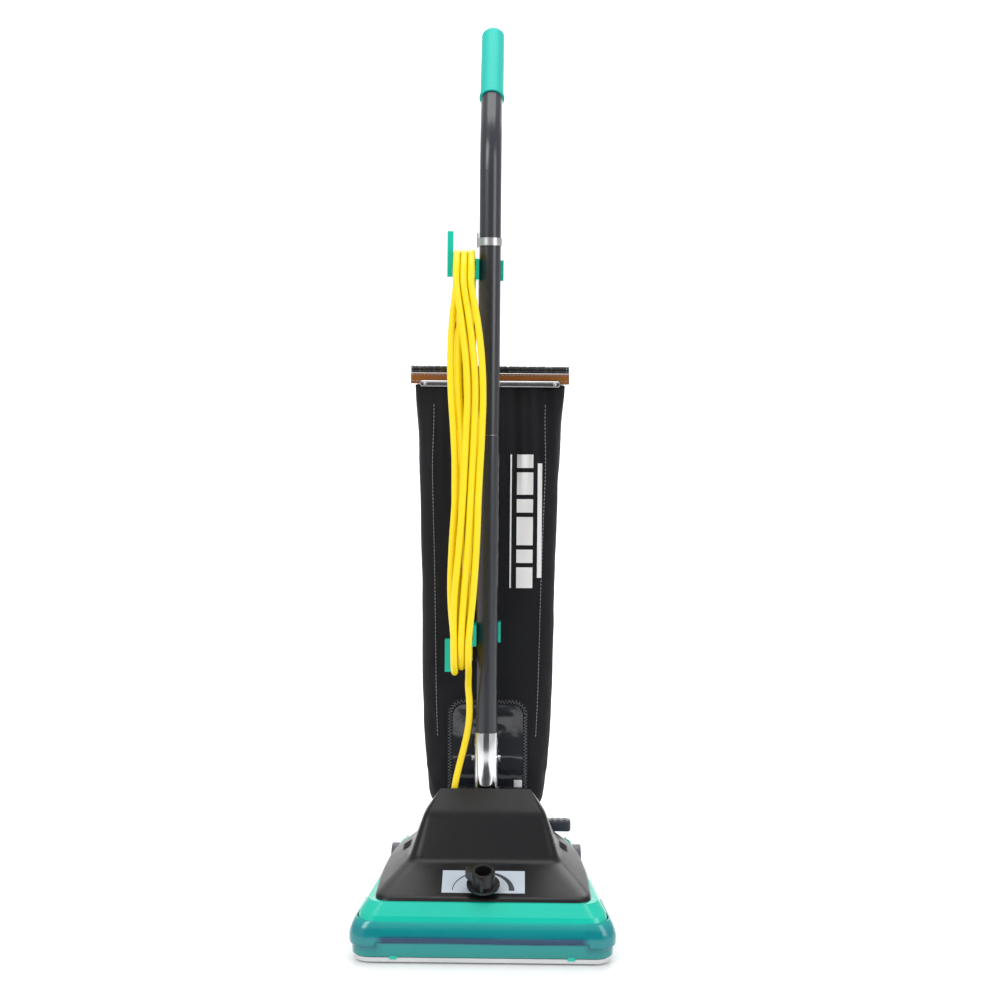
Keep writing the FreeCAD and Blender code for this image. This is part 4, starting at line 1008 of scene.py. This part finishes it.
def outline(d, z):
    """Half outline inset d from the widest: points from the right side at y 92 round the front to the left side."""
    front, yf, rear, yr, r = WIDE - d, d * 0.9, 134.5 - d, 289.0, 22.0
    corner, side = Vector((front, yf)), Vector((rear, yr))
    u = (side - corner).normalized()
    v_ = Vector((-1, 0))
    half = math.acos(max(-1, min(1, u.dot(v_)))) / 2
    reach = r / math.tan(half)
    t0, t1 = corner + u * reach, corner + v_ * reach
    cen = corner + (u + v_).normalized() * (r / math.sin(half))
    a0, a1 = math.atan2(t0.y - cen.y, t0.x - cen.x), math.atan2(t1.y - cen.y, t1.x - cen.x)
    if a1 > a0:
        a1 -= 2 * math.pi
    start = corner + u * ((92 - corner.y) / u.y)
    right = [start.lerp(t0, k / 8) for k in range(8)]
    right += [cen + r * Vector((math.cos(a0 + (a1 - a0) * k / 10), math.sin(a0 + (a1 - a0) * k / 10))) for k in range(11)]
    xs = [133.6, 133.0, 116.5, 116.0, 106.0, 105.5, 70, 35, 0]
    right += [Vector((x, yf)) for x in xs]
    return [(p.x, p.y) for p in right] + [(-p.x, p.y) for p in reversed(right[:-1])]


CENTRE = [(10, 9.8), (10, 3.6), (15.5, 3.4), (21.5, 3.4), (25.2, 3.6), (28.0, 3.5), (28.9, 2.4), (29.5, 0.9), (30.6, 0.15), (34.5, 0.05), (38.5, 0.8), (46, 3.7),
          (52.8, 7.0), (54.2, 8.0), (54.0, 9.2), (45, 9.9), (25, 9.9)]
CORNER = [(10, 9.8), (10, 3.6), (15.5, 3.4), (20.0, 3.4), (21.6, 3.2), (22.6, 2.4), (23.3, 1.5), (24.0, 0.6), (26.0, 0.1), (34.5, 0.05), (38.5, 0.6), (46, 3.2),
          (52.8, 6.8), (54.2, 8.0), (54.0, 9.2), (45, 9.9), (25, 9.9)]
cols = []
grid = [(outline(a[1], a[0]), outline(b[1], b[0])) for a, b in zip(CENTRE, CORNER)]
count = len(grid[0][0])
for j in range(count):
    col = []
    for (za, _), (zb, _), (oc, oe) in zip(CENTRE, CORNER, grid):
        x = oe[j][0]
        edge = abs(x) > 133.3
        pt, z = (oe[j], zb) if edge else (oc[j], za)
        tab = 105.8 < abs(x) < 116.2 and z == 10
        col.append(W(pt[0], pt[1], z))
    cols.append(col)
v, f = skin(cols)
bm_n = Nodes("translucent bumper with painted shadow band")
sep = bm_n.new("ShaderNodeSeparateXYZ")
bm_n.link(bm_n.tc.outputs["Object"], sep.inputs[0])
height = bm_n.math("MULTIPLY", sep.outputs["Z"], 1 / 0.056)
height = bm_n.math("ADD", height, bm_n.math("MULTIPLY", bm_n.math("SUBTRACT", bm_n.noise(7, 3), 0.5), 0.07))
# colour by height: the dark band across the middle of the front is a painted shadow under the overhanging upper bulge,
# the corner ramp has a fainter painted shadow band, and both turn lighter towards the top lip
centre_ramp_painted_shadow = bm_n.ramp(height, [(0.20, (0.0, 0.24, 0.22)), (0.46, (0.0, 0.26, 0.25)), (0.505, (0.0, 0.04, 0.11)), (0.61, (0.0, 0.035, 0.10)), (0.68, (0.0, 0.19, 0.22)), (0.9, (0.0, 0.27, 0.26)), (0.97, (0.0, 0.38, 0.32))])
corner_ramp_painted_shadow = bm_n.ramp(height, [(0.20, (0.0, 0.24, 0.22)), (0.40, (0.0, 0.16, 0.19)), (0.50, (0.0, 0.22, 0.24)), (0.8, (0.0, 0.20, 0.23)), (0.95, (0.0, 0.30, 0.29))])
# past the stepped corners the corner ramp, with its fainter painted shadow band, takes over from the centre ramp
away = bm_n.math("ABSOLUTE", sep.outputs["X"], 0.0)
mask = bm_n.math("MULTIPLY", bm_n.math("SUBTRACT", away, 0.124), 110.0)
mask.node.use_clamp = True
mixer = bm_n.new("ShaderNodeMix", data_type="RGBA")
bm_n.link(mask, mixer.inputs[0])
bm_n.link(centre_ramp_painted_shadow, mixer.inputs[6])
bm_n.link(corner_ramp_painted_shadow, mixer.inputs[7])
bm_n.link(mixer.outputs[2], bm_n.b.inputs["Base Color"])
bm_n.link(bm_n.spread(bm_n.noise(30, 5), 0.12, 0.26), bm_n.b.inputs["Roughness"])
bm_n.bump(bm_n.noise(300, 2), 0.05, 0.0001)
bm_n.b.inputs["Coat Weight"].default_value = 0.3
bm_n.b.inputs["Coat Roughness"].default_value = 0.08
bumper = piece("bumper_shell", v, f, bm_n.m, True, 34)
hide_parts("front_bumper")
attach(bumper, "base")
# small tabs that hook the bumper under the sole plate's edge
for sx in (-1, 1):
    for k, x in enumerate((111,)):
        rr = []
        for yy, g in ((2.9, 0.4), (3.0, 0), (5.5, 0), (5.6, 0.4)):
            rr.append([W(sx * x + (5.2 - g) * math.cos(t) * (1 if abs(math.cos(t)) < 0.8 else 1.0), yy, 8.9 + (2.2 - g) * max(-1, min(1, 1.35 * math.sin(t)))) for t in [2 * math.pi * i / 20 for i in range(20)]])
        v, f = skin(rr)
        tab = piece("bumper_tab_" + ("left" if sx < 0 else "right"), v, f, "teal_plastic", True, 40)
        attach(tab, "base")

# ---------------------------------------------------------------- release pedal
def rounded_yz(y0, y1, z0, z1, r, n=5):
    out = []
    for cy, cz, a0 in ((y1 - r, z1 - r, 0), (y0 + r, z1 - r, 90), (y0 + r, z0 + r, 180), (y1 - r, z0 + r, 270)):
        for k in range(n + 1):
            a = math.radians(a0 + 90 * k / n)
            out.append((cy + r * math.cos(a), cz + r * math.sin(a)))
    return out


def block_x(x0, x1, y0, y1, z0, z1, r, end):
    rows = []
    for t in (0, 0.3, 0.7, 1):
        g = end * (1 - math.sin(math.radians(90 * t)))
        rows.append((x0 + end * (1 - math.cos(math.radians(90 * t))), g))
    rows += [(x1 - (x - x0), g) for x, g in reversed(rows)]
    rr = [[W(x, y, z) for y, z in rounded_yz(y0 + g, y1 - g, z0 + g, z1 - g, max(0.4, r - g * 0.6))] for x, g in rows]
    return skin(rr)


v, f = block_x(60.2, 117.8, 285.7, 301.3, 77.7, 94.3, 4.0, 3.2)
vs, fs = list(v), list(f)
for k in range(6):                                  # grip ridges on the pad's top
    v, f = block_x(64 + 8.6 * k, 68.5 + 8.6 * k, 288, 299.2, 93.9, 94.9, 0.45, 0.4)
    fs += [tuple(i + len(vs) for i in q) for q in f]
    vs += v
rr = []
for yy, z0, z1, g in ((288.5, 79.5, 91.5, 0.3), (280, 80.3, 91.2, 0), (270, 80.6, 91.4, 0), (262, 80.2, 91.8, 0), (256.6, 82.4, 89.6, 0.8), (255.9, 84, 88, 2)):
    rr.append([W(x, yy, z) for x, z in [(65 - g, z1 - 1), (64 - g, z1), (58 + g, z1), (57 + g, z1 - 1), (57 + g, z0 + 1), (58 + g, z0), (64 - g, z0), (65 - g, z0 + 1)]])
v, f = skin(rr)
fs += [tuple(i + len(vs) for i in q) for q in f]
vs += v
pad = piece("pedal_shell", vs, fs, "dark_plastic", True, 40)
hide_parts("release_pedal")
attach(pad, "pedal")
